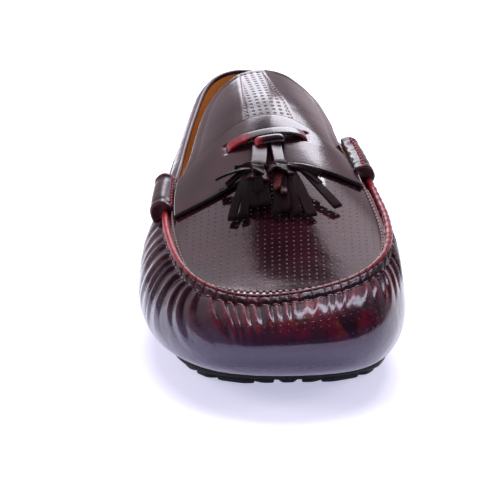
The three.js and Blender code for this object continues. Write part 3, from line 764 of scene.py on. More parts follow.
def edges_at(outline, y):
    """Lowest and highest x of an outline at places along the shoe, from its two sides between toe and heel."""
    front, rear = np.argmin(outline[:, 1]), np.argmax(outline[:, 1])
    count = len(outline)
    one = outline[(front + np.arange((rear - front) % count + 1)) % count]
    other = outline[(front - np.arange((front - rear) % count + 1)) % count]
    first = np.interp(y, one[:, 1], one[:, 0])
    second = np.interp(y, other[:, 1], other[:, 0])
    return np.minimum(first, second), np.maximum(first, second)


def distance_to(line, x, y):
    """Plan distance of each place from the nearest point of a line."""
    apart = np.hypot(x.reshape(-1, 1) - line[None, :, 0], y.reshape(-1, 1) - line[None, :, 1])
    return apart.min(axis=1).reshape(x.shape)


def apron_skin():
    """Top panel inside the gathered seam. Its border runs in under the cord, with a shallow trough under the row
    of stitches and a faint swell of its own."""
    outline = moved_in(MOUTH, -0.5)
    front = outline[:, 1].min() + 0.3
    y = mix(front, y_at(APRON_END), np.linspace(0, 1, 120) ** 1.35)[:, None]
    low, high = edges_at(outline, y)
    share = (1 - np.cos(np.pi * np.linspace(0, 1, 130))) / 2
    x = mix(low, high, mix(np.linspace(0, 1, 130), share, 0.6)[None, :])
    y = y + 0 * x
    border = distance_to(outline[::2], x, y)
    lift = 0.1 * bump(border, 0.2, 0.7) - 0.09 * bump(border, 1.7, 0.5)
    lift += 0.1 * np.sin(x / 17 + 1) * np.sin(y / 21)
    top = instep_point(x, y, lift)
    bottom = instep_point(x, y, -APRON_LEATHER)
    points, faces, edge = leaf(top, bottom)
    uv = np.stack([x - HOLE_SKEW * y, y], -1)
    holes = soft_step(4.2, 5.0, border)
    rub = 0.3 * bump(border, 0.2, 0.8)
    marks = {"rub": leaf_marks(rub, edge), "holes": leaf_marks(holes, edge)}
    return (points, faces), marks, leaf_marks(uv, edge)


def apron_stitches():
    """Row of pale stitches beside the seam, on the apron's border at an even pitch."""
    line = moved_in(MOUTH, SEAT_GAP + 0.9)
    u = ROUND[:-1]
    inner = line[(u < SEAM_END_INNER - 0.1)]
    outer = line[(u > SEAM_END_OUTER + 0.1)]
    path = np.concatenate([outer, inner])
    path = instep_point(path[:, 0], path[:, 1], 0.25)
    centres, along = spaced_along(path, STITCH_PITCH)
    up = instep_normal(centres[:, 0], centres[:, 1])
    return stitches(centres, along, up, 1.7, 0.5)


def tongue_edges(y):
    """Sides of the tongue: its own table of half widths, kept inside the apron's outline."""
    _, outer, inner = np.moveaxis(tongue_at(row_of(TONGUE_ROWS, share_at(y) / PERCENT)), -1, 0)
    low, high = edges_at(APRON_OUTLINE, y)
    return (np.maximum(outer * PERCENT * HALF_WIDTH, low), np.minimum(inner * PERCENT * HALF_WIDTH, high))


def inlay_middle(y):
    """Middle line of the punched strip on the tongue."""
    return np.interp(y + SHOE_LENGTH / 2, [110, 142, 182, 190], [5.5, 2.5, -2.0, -2.6])


def inlay_half(y):
    """Half width of the punched strip on the tongue."""
    return np.interp(y + SHOE_LENGTH / 2, [110, 142, 182, 190], [13.0, 9.7, 5.2, 4.6])


def tongue_skin():
    """Tongue from under the strap to its rounded tip, thicker towards its free edge, with a shallow trough on
    both sides of the punched strip."""
    share = 1 - (1 - np.linspace(0, 1, 90)) ** 1.5
    y = mix(y_at(APRON_END) + SEAT_GAP, y_at(TONGUE_END), share)[:, None]
    low, high = tongue_edges(y)
    x = mix(low, high, np.linspace(0, 1, 90)[None, :])
    y = y + 0 * x
    outline_y = np.linspace(y_at(APRON_END), y_at(TONGUE_END), 400)
    left, right = tongue_edges(outline_y)
    tip = np.linspace(0, 1, 30)
    rim = np.concatenate([
        np.stack([left, outline_y], -1), np.stack([right, outline_y], -1),
        np.stack([mix(left[-1], right[-1], tip), 0 * tip + outline_y[-1]], -1)])
    border = distance_to(rim, x, y)
    aside = np.abs(x - inlay_middle(y)) - inlay_half(y)
    lift = 0.28 * bump(border, 0.8, 1.2) - 0.1 * bump(border, 3.4, 0.6) * soft_step(-20, -10, y)
    lift = lift - 0.06 * bump(aside, 0, 0.5) + 0.06 * bump(aside, 1.3, 0.8)
    top = instep_point(x, y, lift)
    bottom = instep_point(x, y, -TONGUE_LEATHER)
    points, faces, edge = leaf(top, bottom)
    uv = np.stack([x - inlay_middle(y) + HOLE_PITCH / 2, y], -1)
    holes = soft_step(0.4, 1.4, -aside)
    rub = 0.12 * bump(border, 0, 0.9)
    marks = {"rub": leaf_marks(rub, edge), "holes": leaf_marks(holes, edge)}
    size = x.size
    return (points, faces), marks, leaf_marks(uv, edge), size


def tongue_stitches():
    """Two rows of stitches along the punched strip."""
    y = np.linspace(y_at(0.43), y_at(0.646), 300)
    parts = []
    for side in (-1, 1):
        path = instep_point(inlay_middle(y) + side * inlay_half(y), y, 0.0)
        centres, along = spaced_along(path, STITCH_PITCH)
        parts.append(stitches(centres, along, instep_normal(centres[:, 0], centres[:, 1]), 1.7, 0.3))
    return joined(parts)


BAND_ENDS = (-14.9, 16.6)


def band_middle(x):
    """Place of the bridge band's middle line along the shoe."""
    return y_at(BRIDGE_SHARE) + BRIDGE_SLOPE * x


def strap_skin():
    """Saddle over apron and tongue between the two edges of its table, its cut edges nearly square, with two
    troughs where the bridge band goes in."""
    along = np.linspace(0, 1, 70)[:, None]
    across = np.linspace(0, 1, 150)[None, :]
    _, front, rear = np.moveaxis(strap_at(row_of(STRAP_ROWS, across / PERCENT)), -1, 0)
    front, rear = y_at(front * PERCENT), y_at(rear * PERCENT)
    y = mix(front, rear, along)
    low, high = edges_at(APRON_OUTLINE, y)
    x = mix(low + STRAP_OVER_SEAM, high - STRAP_OVER_SEAM, across)
    swell = 0.3 * np.sin(np.pi * along) ** 0.4 - 0.3
    lift = SEAT_GAP + STRAP_LEATHER + swell + 0 * x
    line = band_middle(x)
    near_band = 1 - soft_step(2.6, 3.8, np.abs(y - line))
    for end in BAND_ENDS:
        lift -= 0.8 * bump(x, end, 1.2) * near_band
    top = instep_point(x, y, lift)
    bottom = instep_point(x, y, SEAT_GAP + 0 * lift)
    points, faces, edge = leaf(top, bottom, 0.4)
    cut = np.zeros(len(points))
    cut[x.size:] = 1
    slit = np.maximum(bump(x, BAND_ENDS[0], 2.2), 0.5 * bump(x, BAND_ENDS[1], 2.0)) * near_band
    rub = 0.25 * bump((1 - along) * (rear - front), 0, 0.5) + 0.2 * slit
    marks = {"rub": leaf_marks(np.clip(rub, 0, 1), edge), "cut": cut}
    return (points, faces), marks


BAND_ROUTE = smooth_through([
    [-27.6, -0.05], [-26.8, 0.36], [-23, 0.72], [-15, 0.93], [-7, 1],
    [4, 1.02], [15, 1], [22, 0.9], [27, 0.68], [30.2, 0.36], [30.9, -0.05],
], False)


def band_path(count):
    """Points of the bridge band's middle line, with its across and up vectors."""
    place, lift = np.moveaxis(BAND_ROUTE(np.linspace(0, 10, count)), -1, 0)
    x = place * PERCENT * HALF_WIDTH
    path = instep_point(x, band_middle(x), lift * BRIDGE_ARCH + SEAT_GAP)
    across = unit(np.array([-BRIDGE_SLOPE, 1.0, 0.3]) + 0 * path)
    along = unit(np.gradient(path, axis=0))
    up = unit(np.cross(along, across))
    return path, unit(np.cross(up, along)), up, place


def bridge_band():
    """Flat leather band carried along its arch, rubbed red along its outer third where it bends down."""
    path, across, up, place = band_path(90)
    profile = strap_profile(BAND_WIDTH, 1.5, 20, 0.3)
    rub = np.maximum(1.0 * (1 - soft_step(-17, -8, place)), 0.7 * bump(place, 30, 3))
    rub = np.repeat(rub, 20) * np.tile(0.55 + 0.45 * (profile[:, 0] < 1), 90)
    shell = tube(path, across, up, profile)
    return shell, np.append(rub, [0.5, 0.5])


def keeper():
    """Padded roll on the strap along the band's front edge: a half-round bar, full in its middle, whose size
    falls to both ends as (1 - |2t - 1|^7)^0.5."""
    t = np.linspace(0, 1, 60)
    x = KEEPER_X * HALF_WIDTH + (t - 0.5) * KEEPER_WIDTH
    y = band_middle(x) - BAND_WIDTH / 2 - SEAT_GAP - KEEPER_DEPTH / 2
    path = instep_point(x, y, SEAT_GAP + STRAP_LEATHER + SEAT_GAP + 0 * x)
    across, up = frames(path, instep_normal(x, y))
    angle = 2 * np.pi * np.arange(32) / 32
    c, s = np.cos(angle), np.sin(angle)
    wide = np.sign(c) * np.abs(c) ** 0.8 * KEEPER_DEPTH / 2
    high = KEEPER_HEIGHT * (0.42 + np.where(s > 0, 0.6, 0.4) * np.sign(s) * np.abs(s) ** 0.85)
    size = mix(0.35, 1, (1 - np.abs(2 * t - 1) ** 7) ** 0.5)
    shell = tube(path, across, up, np.stack([wide, high], -1), size)
    rub = np.repeat(bump(t, 0.08, 0.13), 32)
    return shell, np.append(rub, [0.4, 0])


def roll_frames(side):
    """Middle line of a roll over the seam's end, with its width, direction and outward vectors."""
    inner = side == "inner"
    u = np.linspace(section_of_share(ROLL_FRONT[side], inner), section_of_share(ROLL_REAR[side], inner), 72)
    normal = wall_normal(u, np.full(72, 2.0))
    rim = wall_point(u, 2.0)
    along = unit(np.gradient(rim, axis=0))
    across = unit(np.cross(normal, along))
    return rim + across * ROLL_SHIFT[side], across, along, normal


ROLL_SINK = 1.4


def roll_section(side, angle):
    """Width and height of a roll's section at angles: half-round above its seat and flat below."""
    c, s = np.cos(angle), np.sin(angle)
    wide = np.sign(c) * np.abs(c) ** 0.8 * ROLL_WIDTH / 2
    high = np.where(s > 0, np.abs(s) ** 0.85 * (ROLL_HEIGHT[side] + ROLL_SINK), -np.abs(s) * 0.6)
    return wide, high - ROLL_SINK


def roll(side):
    """Padded sleeve over the seam: a half-round bar with a rounded lip at its front, a thin flange standing at
    its rear and a soft waist between them."""
    seat, across, along, normal = roll_frames(side)
    share = np.linspace(0, 1, 72)
    count = 44
    wide, high = roll_section(side, 2 * np.pi * np.arange(count) / count)
    lip = bump(share, 0.05, 0.05) + 1.3 * bump(share, 0.96, 0.035)
    neck = bump(share, 0.15, 0.05) + 1.2 * bump(share, 0.86, 0.06)
    turn = 2 * np.pi * np.arange(count) / count
    deep = {"inner": 0.014, "outer": 0.003}[side]
    crumple = deep * np.sin(34 * share[:, None] + 3 * np.sin(2 * turn[None, :] + 1)) * np.sin(np.pi * share[:, None])
    size = (0.94 + 0.045 * lip - 0.05 * neck)[:, None] + crumple
    grid = (seat[:, None, :] + across[:, None, :] * (wide[None, :] * size)[..., None]
            + normal[:, None, :] * (high[None, :] * size)[..., None])
    closing = np.array([0.93, 0.8])[:, None, None]
    first = seat[0] + normal[0] * 1.6
    last = seat[-1] + normal[-1] * 1.6
    front = first + (grid[0] - first)[None] * closing[::-1] - along[0] * np.array([0.0, 0.3])[:, None, None]
    rear = last + (grid[-1] - last)[None] * closing + along[-1] * np.array([0.3, 0.0])[:, None, None]
    grid = np.concatenate([front, grid, rear])
    rows = len(grid)
    points = np.concatenate([grid.reshape(-1, 3), [first, last]])
    loop = np.arange(count)
    after = (loop + 1) % count
    tip = rows * count
    base = (rows - 1) * count
    faces = [grid_quads(rows, count, wrap_columns=True),
             np.stack([np.full(count, tip), loop, after], -1),
             np.stack([np.full(count, tip + 1), base + after, base + loop], -1)]
    edge = np.concatenate([[0.1, 0.1], np.clip(0.14 * lip, 0, 1), [0.2, 0.2]])
    rub = np.append(np.repeat(edge, count), [0, 0])
    return (points, turned_out(points, faces)), rub


def roll_stitches(side):
    """Row of stitches where the strap turns up into the roll."""
    seat, across, along, normal = roll_frames(side)
    tilt = np.pi - 0.42 if side == "outer" else np.pi - 0.55
    inward = np.sign(np.sum(across[36] * [-seat[36, 0], 0, 0]))
    wide, high = roll_section(side, np.array([tilt]))
    line = (seat - inward * across * wide * 0.97 + normal * high * 0.97)[3:-4]
    centres, direction = spaced_along(line, 2.5)
    up = unit((-inward * across * np.cos(tilt) + normal * np.sin(tilt))[3:-4]).mean(0) + 0 * centres
    return stitches(centres, direction, up, 2.1, 0.55)


# Tassels

# Places as x and millimetres from the toe, with the lift over the apron and the strip's width
TASSELS = {
    "outer": {
        "head": (-3.5, 99.1),
        "stem": (-2.2, 6.4, 0.0),
        "strips": [
            (-19.7, 96.9, 4.8, 3.2), (-16.2, 93.6, 3.2, 3.0), (-15.5, 73.2, 1.2, 3.5), (-10.6, 73.4, 1.4, 3.3),
            (-6.2, 77.6, 2.2, 4.4), (-2.0, 77.2, 3.0, 4.2), (-3.8, 83.5, 4.4, 3.8),
        ],
        "frills": [
            (-12.2, 99.4, 6.6, 3.6, 0.0), (-7.6, 92.0, 6.6, 2.6, 0.8), (-9.4, 91.0, 5.4, 2.6, 0.6),
            (-0.6, 88.0, 7.0, 3.0, 0.2), (-5.2, 90.5, 7.0, 3.0, 0.1), (-3.4, 92.5, 8.4, 5.0, 0.05),
        ],
    },
    "inner": {
        "head": (5.0, 98.6),
        "stem": (4.2, 4.6, 0.18),
        "strips": [
            (19.4, 91.4, 6.0, 3.2), (19.6, 87.4, 4.4, 3.2), (26.2, 76.2, 1.8, 4.2), (15.7, 70.6, 1.2, 4.4),
            (9.4, 71.4, 1.4, 4.2), (5.2, 73.0, 2.2, 4.0), (1.8, 72.6, 1.4, 3.8), (12.4, 80.0, 3.0, 3.8),
        ],
        "frills": [
            (13.8, 93.6, 7.4, 3.0, 0.1), (17.0, 93.2, 6.8, 2.8, 0.0), (2.8, 82.6, 6.6, 3.0, 0.55),
            (5.4, 80.0, 6.4, 2.8, 0.35), (9.0, 91.0, 7.2, 3.0, 0.1), (5.6, 92.0, 8.6, 4.6, 0.0),
            (1.0, 92.5, 8.2, 4.6, 0.2),
        ],
    },
}
HEAD_LIFT = 5.7


def hanging_strip(head, end, lift, seed, wide, arch=1.2, count=22):
    """Flat strip from the head to its blunt free end: straight in plan with a small sideways sway, its lift
    falling from the head to the end with a half-sine arch, and turned a little about its own line. Its start
    lies a third of the way across towards its end."""
    own = np.random.default_rng(seed)
    t = np.linspace(0, 1, count)
    start = (mix(head[0], end[0], 0.3 if end[1] < head[1] - 9 else 0.12), head[1] - 1.2)
    sway = (own.uniform(-0.7, 0.7) * np.sin(np.pi * t) + own.uniform(-0.35, 0.35) * np.sin(3 * np.pi * t)) * t
    heading = np.array([end[0] - start[0], end[1] - start[1]], float)
    heading /= np.linalg.norm(heading)
    x = mix(start[0], end[0], t) - heading[1] * sway
    d = mix(start[1], end[1], t) + heading[0] * sway
    height = mix(HEAD_LIFT - 0.6, lift, t ** 0.85) + arch * np.sin(np.pi * t ** 0.8) + 0.7
    path = instep_point(x, d - SHOE_LENGTH / 2, height)
    up = instep_normal(x, d - SHOE_LENGTH / 2)
    across, up = frames(path, up)
    turn = own.uniform(-0.25, 0.25) + own.uniform(-0.35, 0.35) * t
    turned_across = across * np.cos(turn)[:, None] + up * np.sin(turn)[:, None]
    turned_up = up * np.cos(turn)[:, None] - across * np.sin(turn)[:, None]
    narrow = np.interp(t, [0, 0.15, 0.4, 0.97, 1], [0.66, 0.76, 0.94, 1.05, 0.94])
    return tube(path, turned_across, turned_up, strap_profile(wide, 1.0, 14, 0.22), narrow)


def frill(head, end, lift, seed, wide):
    """Short strip folded up over the head and curled at its end: a strip whose lift turns up again."""
    own = np.random.default_rng(seed)
    t = np.linspace(0, 1, 18)
    x = mix(head[0], end[0], t)
    d = mix(head[1] + 1.5, end[1], t)
    height = HEAD_LIFT - 1 + (lift - HEAD_LIFT + 1) * np.sin(np.pi / 2 * t)
    height += 1.0 * np.sin(2 * np.pi * t) * own.uniform(0.3, 1)
    path = instep_point(x, d - SHOE_LENGTH / 2, height)
    across, up = frames(path, instep_normal(x, d - SHOE_LENGTH / 2))
    turn = own.uniform(-0.9, 0.9) * t
    turned_across = across * np.cos(turn)[:, None] + up * np.sin(turn)[:, None]
    turned_up = up * np.cos(turn)[:, None] - across * np.sin(turn)[:, None]
    narrow = np.interp(t, [0, 0.2, 0.9, 1], [0.8, 1, 1, 0.75])
    return tube(path, turned_across, turned_up, strap_profile(wide, 1.0, 14, 0.22), narrow)


def gathered_head(head):
    """Knot of the tassel: a flattened ball with eleven folds, its radius swelling by |sin 5.5 a|."""
    rows, count = 16, 66
    polar = np.linspace(0.06, np.pi - 0.06, rows)[:, None]
    angle = (2 * np.pi * np.arange(count) / count)[None, :]
    fold = 1 + 0.14 * np.abs(np.sin(5.5 * angle)) * np.sin(polar)
    centre = instep_point(head[0], head[1] - SHOE_LENGTH / 2, HEAD_LIFT)
    up = instep_normal(np.float64(head[0]), np.float64(head[1] - SHOE_LENGTH / 2))
    side = unit(np.cross(up, [0, -1.0, 0]))
    ahead = np.cross(side, up)
    ring = (side * (np.sin(polar) * np.cos(angle) * fold)[..., None] * 3.3
            + ahead * (np.sin(polar) * np.sin(angle) * fold)[..., None] * 3.3
            + up * (np.cos(polar) + 0 * angle)[..., None] * 2.2)
    points = (centre + ring).reshape(-1, 3)
    points = np.concatenate([points, [centre + up * 2.2, centre - up * 2.2]])
    loop = np.arange(count)
    after = (loop + 1) % count
    size = rows * count
    base = (rows - 1) * count
    faces = [grid_quads(rows, count, wrap_columns=True),
             np.stack([np.full(count, size), loop, after], -1),
             np.stack([np.full(count, size + 1), base + after, base + loop], -1)]
    return points, turned_out(points, faces)


def tassel(side):
    """Head, hanging strips and curled frills of one tassel as one shell, with the rub of each frill."""
    plan = TASSELS[side]
    head = plan["head"]
    offset = 0 if side == "outer" else 100
    parts = [gathered_head(head)]
    worn = [0.0]
    for k, (x, d, lift, wide) in enumerate(plan["strips"]):
        parts.append(hanging_strip(head, (x, d), lift, offset + k, wide))
        worn.append(0.0)
    for k, (x, d, lift, wide, rub) in enumerate(plan["frills"]):
        parts.append(frill(head, (x, d), lift, offset + 50 + k, wide))
        worn.append(rub)
    rub = np.repeat(worn, [len(part[0]) for part in parts])
    return joined(parts), rub


def stem(side):
    """Flat strip from the keeper's front edge down to the tassel's head, turned a little about its own line."""
    head = TASSELS[side]["head"]
    start_x, wide, turn = TASSELS[side]["stem"]
    t = np.linspace(0, 1, 24)
    start_d = band_middle(start_x) - BAND_WIDTH / 2 - SEAT_GAP - KEEPER_DEPTH + 1.2 + SHOE_LENGTH / 2
    x = mix(start_x, head[0], t ** 1.5)
    d = mix(start_d, head[1], t)
    height = mix(3.4, HEAD_LIFT + 0.2, t ** 1.3) + 0.5 * np.sin(np.pi * t)
    path = instep_point(x, d - SHOE_LENGTH / 2, height)
    across, up = frames(path, instep_normal(x, d - SHOE_LENGTH / 2))
    turned_across = across * np.cos(turn) + up * np.sin(turn)
    turned_up = up * np.cos(turn) - across * np.sin(turn)
    return tube(path, turned_across, turned_up, strap_profile(wide, 1.5, 18, 0.3))


# Sock and sole

FOOT_OUTLINE = wall_point(ROUND[:-1], 0.0)
FOREFOOT_LET_OUT = 6.0


def sole_edge(inset):
    """Outline of the sole: the foot of the wall moved in, and let out under the forefoot."""
    y = FOOT_OUTLINE[:, 1:2]
    forefoot = soft_step(y_at(0.07), y_at(0.15), y) * (1 - soft_step(y_at(0.3), y_at(0.5), y))
    return moved_in(FOOT_OUTLINE, inset - FOREFOOT_LET_OUT * forefoot)


def flat_leaf(outline, bottom, top, rows, columns, dish=0.0):
    """Sheet over the sole's rise inside an outline, dished by 1 - (2a - 1)^2 across."""
    front = outline[:, 1].min() + 0.12
    rear = outline[:, 1].max() - 0.12
    y = mix(front, rear, (1 - np.cos(np.pi * np.linspace(0, 1, rows))) / 2)[:, None]
    low, high = edges_at(outline, y)
    share = np.linspace(0, 1, columns)[None, :]
    x = mix(low, high, share)
    y = y + 0 * x
    rise = sole_rise(share_at(y))
    sag = dish * (1 - (2 * share - 1) ** 2)
    upper = np.stack([x, y, rise + top - sag], -1)
    lower = np.stack([x, y, rise + bottom + 0 * x], -1)
    return leaf(upper, lower)


def lugs():
    """Rubber studs under forefoot and heel. Each stud is a rounded block: a unit dome of rings mapped onto the
    four corners of its cell."""
    outline = sole_edge(1.6)
    front, rear = outline[:, 1].min(), outline[:, 1].max()
    corners = []
    groove = 2.4
    for start_share, end_share, across in ((0.088, 0.43, 5), (0.73, 0.955, 3)):
        count = round((end_share - start_share) * SHOE_LENGTH / 11.5)
        pitch = (end_share - start_share) * SHOE_LENGTH / count
        start = np.maximum(y_at(start_share) + pitch * np.arange(count), front + groove)
        end = np.minimum(start + pitch - groove, rear - groove)
        for y in (start, end):
            low, high = edges_at(outline, y)
            wide = (high - low + groove) / across
            number = np.arange(across)[:, None]
            left = low + number * wide
            corners.append(np.stack([left, left + wide - groove, y + 0 * left], -1).reshape(-1, 3))
    blocks = [np.stack([corners[k], corners[k + 1]], 1) for k in (0, 2)]
    cells = np.concatenate(blocks)
    sides = 28
    angle = 2 * np.pi * np.arange(sides) / sides
    c, s = np.cos(angle), np.sin(angle)
    square_x = np.sign(c) * np.abs(c) ** 0.45
    square_y = np.sign(s) * np.abs(s) ** 0.45
    reach = np.array([1.0, 1.0, 0.97, 0.88, 0.6])[:, None]
    height = np.array([3.2, 0.8, 0.3, 0.05, 0.0])[:, None]
    s_across = (square_x[None] * reach + 1) / 2
    s_along = (square_y[None] * reach + 1) / 2
    left = mix(cells[:, 0, 0, None, None], cells[:, 1, 0, None, None], s_along[None])
    right = mix(cells[:, 0, 1, None, None], cells[:, 1, 1, None, None], s_along[None])
    y = mix(cells[:, 0, 2, None, None], cells[:, 1, 2, None, None], s_along[None])
    x = mix(left, right, s_across[None])
    z = sole_rise(share_at(y)) + height[None]
    grid = np.stack([x, y, z + 0 * x], -1)
    count = len(cells)
    rings = len(reach)
    points = grid.reshape(count, -1, 3)
    tips = np.stack([points[:, :sides].mean(1), points[:, -sides:].mean(1)], 1)
    points = np.concatenate([points, tips], axis=1)
    loop = np.arange(sides)
    after = (loop + 1) % sides
    base = (rings - 1) * sides
    quads = grid_quads(rings, sides, wrap_columns=True)
    caps = np.concatenate([
        np.stack([np.full(sides, rings * sides), loop, after], -1),
        np.stack([np.full(sides, rings * sides + 1), base + after, base + loop], -1)])
    starts = (np.arange(count) * points.shape[1])[:, None, None]
    flat = points.reshape(-1, 3)
    return flat, turned_out(flat, [(quads[None] + starts).reshape(-1, 4), (caps[None] + starts).reshape(-1, 3)])


def collar_stitches():
    """Row of stitches below the padded topline."""
    run = np.arange(SEAM_RUN_INNER + 12, RIM_LENGTH + SEAM_RUN_OUTER - 12, 0.5)
    path, normal = on_wall(run, 7.2, 0.0)
    centres, along = spaced_along(path, STITCH_PITCH)
    spots = np.cumsum(np.linalg.norm(np.diff(path, axis=0), axis=1))
    picked = np.clip(np.searchsorted(spots, STITCH_PITCH / 2 + STITCH_PITCH * np.arange(len(centres))), 0, len(run) - 1)
    return stitches(centres + normal[picked] * 0.05, along, normal[picked], 1.7, 0.3)


# Finishes

def add_node(tree, kind, place=(0, 0), **settings):
    """Adds one node and sets its own settings."""
    node = tree.nodes.new(kind)
    node.location = place
    for name, value in settings.items():
        setattr(node, name, value)
    return node


def set_inputs(node, values):
    """Sets a node's open sockets by name or number."""
    for name, value in values.items():
        node.inputs[name].default_value = value


def new_group(name, inputs, outputs):
    """Empty node group with named sockets; returns the tree with its ends."""
    tree = bpy.data.node_groups.new(name, "ShaderNodeTree")
    for label, kind, value in inputs:
        socket = tree.interface.new_socket(label, in_out="INPUT", socket_type=kind)
        if value is not None:
            socket.default_value = value
    for label, kind in outputs:
        tree.interface.new_socket(label, in_out="OUTPUT", socket_type=kind)
    return tree, add_node(tree, "NodeGroupInput", (-900, 0)), add_node(tree, "NodeGroupOutput", (900, 0))


def use_group(tree, group, values, place=(0, 0)):
    """Places a node group in a material with its own values."""
    node = add_node(tree, "ShaderNodeGroup", place, node_tree=group)
    set_inputs(node, values)
    return node


def maths(tree, operation, first, second=None, third=None):
    """Math node on sockets or numbers; returns its result."""
    node = add_node(tree, "ShaderNodeMath", operation=operation)
    for index, value in enumerate((first, second, third)):
        if value is None:
            continue
        if isinstance(value, (int, float)):
            node.inputs[index].default_value = value
        else:
            tree.links.new(value, node.inputs[index])
    return node.outputs[0]


def blend_colour(tree, share, first, second, mode="MIX"):
    """Mixes two colours, each a socket or a fixed colour, by a share socket."""
    node = add_node(tree, "ShaderNodeMix", data_type="RGBA", blend_type=mode)
    tree.links.new(share, node.inputs["Factor"])
    for label, value in (("A", first), ("B", second)):
        socket = next(s for s in node.inputs if s.name == label and s.type == "RGBA")
        if isinstance(value, tuple):
            socket.default_value = value
        else:
            tree.links.new(value, socket)
    return next(s for s in node.outputs if s.type == "RGBA")


def noise_at(tree, vector, scale, detail=3.0, roughness=0.55):
    """Noise value at a vector, with a fixed scale."""
    node = add_node(tree, "ShaderNodeTexNoise")
    set_inputs(node, {"Scale": scale, "Detail": detail, "Roughness": roughness})
    tree.links.new(vector, node.inputs["Vector"])
    return node.outputs["Fac"]


def ramp_value(tree, value, low, high, to_low=0.0, to_high=1.0):
    """Value carried from one range to another, held at its ends."""
    node = add_node(tree, "ShaderNodeMapRange", interpolation_type="SMOOTHSTEP")
    set_inputs(node, {"From Min": low, "From Max": high, "To Min": to_low, "To Max": to_high})
    tree.links.new(value, node.inputs["Value"])
    return node.outputs["Result"]


def build_pinholes():
    """Mask of a square field of round holes: 1 inside a hole. Distance from the middle of the nearest cell, from
    the fraction of place over pitch."""
    tree, given, result = new_group(
        "pinhole_field",
        [("Surface", "NodeSocketVector", None), ("Pitch", "NodeSocketFloat", 2.8), ("Radius", "NodeSocketFloat", 0.5)],
        [("Hole", "NodeSocketFloat")])
    split = add_node(tree, "ShaderNodeSeparateXYZ")
    tree.links.new(given.outputs["Surface"], split.inputs[0])
    sides = []
    for axis in (0, 1):
        cell = maths(tree, "DIVIDE", split.outputs[axis], given.outputs["Pitch"])
        part = maths(tree, "SUBTRACT", maths(tree, "FRACT", cell), 0.5)
        sides.append(maths(tree, "MULTIPLY", part, given.outputs["Pitch"]))
    square = maths(tree, "ADD", maths(tree, "MULTIPLY", sides[0], sides[0]), maths(tree, "MULTIPLY", sides[1], sides[1]))
    share = maths(tree, "DIVIDE", maths(tree, "SQRT", square), given.outputs["Radius"])
    tree.links.new(ramp_value(tree, share, 0.7, 1.2, 1.0, 0.0), result.inputs["Hole"])
    return tree


def build_tone():
    """Leather colour: dark base with a slow cloud, rubbed to red where the rub mask and a fine noise meet, and
    to ember in patches of the ember mask."""
    tree, given, result = new_group(
        "leather_tone",
        [("Place", "NodeSocketVector", None), ("Base", "NodeSocketColor", (0.02, 0.004, 0.007, 1)),
         ("Rubbed", "NodeSocketColor", (0.25, 0.012, 0.022, 1)),
         ("Cloud", "NodeSocketColor", (0.03, 0.004, 0.009, 1)), ("Ember", "NodeSocketColor", (0.12, 0.018, 0.005, 1)),
         ("Rub", "NodeSocketFloat", 0.0), ("Fire", "NodeSocketFloat", 0.0)],
        [("Color", "NodeSocketColor"), ("Worn", "NodeSocketFloat")])
    place = given.outputs["Place"]
    cloud = ramp_value(tree, noise_at(tree, place, 34.0, 3.0), 0.35, 0.7)
    deep = blend_colour(tree, cloud, given.outputs["Base"], given.outputs["Cloud"])
    brushed = ramp_value(tree, noise_at(tree, place, 420.0, 4.0, 0.65), 0.3, 0.62)
    worn = maths(tree, "MULTIPLY", given.outputs["Rub"], maths(tree, "ADD", maths(tree, "MULTIPLY", brushed, 0.75), 0.3))
    worn = maths(tree, "MINIMUM", worn, 1.0)
    patches = ramp_value(tree, noise_at(tree, place, 130.0, 4.0, 0.6), 0.42, 0.66)
    glow = maths(tree, "MULTIPLY", given.outputs["Fire"], patches)
    spots = ramp_value(tree, noise_at(tree, place, 90.0, 2.0, 0.5), 0.5, 0.72)
    red_patch = blend_colour(tree, spots, (0.08, 0.001, 0.013, 1), given.outputs["Ember"])
    warm = blend_colour(tree, glow, deep, red_patch)
    tree.links.new(blend_colour(tree, worn, warm, given.outputs["Rubbed"]), result.inputs["Color"])
    tree.links.new(worn, result.inputs["Worn"])
    return tree


def build_relief():
    """Fine relief of polished leather: a slow unevenness and a shallow grain."""
    tree, given, result = new_group(
        "leather_relief",
        [("Place", "NodeSocketVector", None), ("Slow", "NodeSocketFloat", 0.5), ("Grain", "NodeSocketFloat", 0.1)],
        [("Height", "NodeSocketFloat")])
    place = given.outputs["Place"]
    slow = maths(tree, "MULTIPLY", noise_at(tree, place, 95.0, 2.0, 0.5), given.outputs["Slow"])
    grain = maths(tree, "MULTIPLY", noise_at(tree, place, 900.0, 2.0, 0.5), given.outputs["Grain"])
    tree.links.new(maths(tree, "ADD", slow, grain), result.inputs["Height"])
    return tree


PINHOLES = build_pinholes()
TONE = build_tone()
RELIEF = build_relief()


def attribute(tree, name):
    """Value of a piece's own mark."""
    return add_node(tree, "ShaderNodeAttribute", (-900, -200), attribute_name=name).outputs["Fac"]


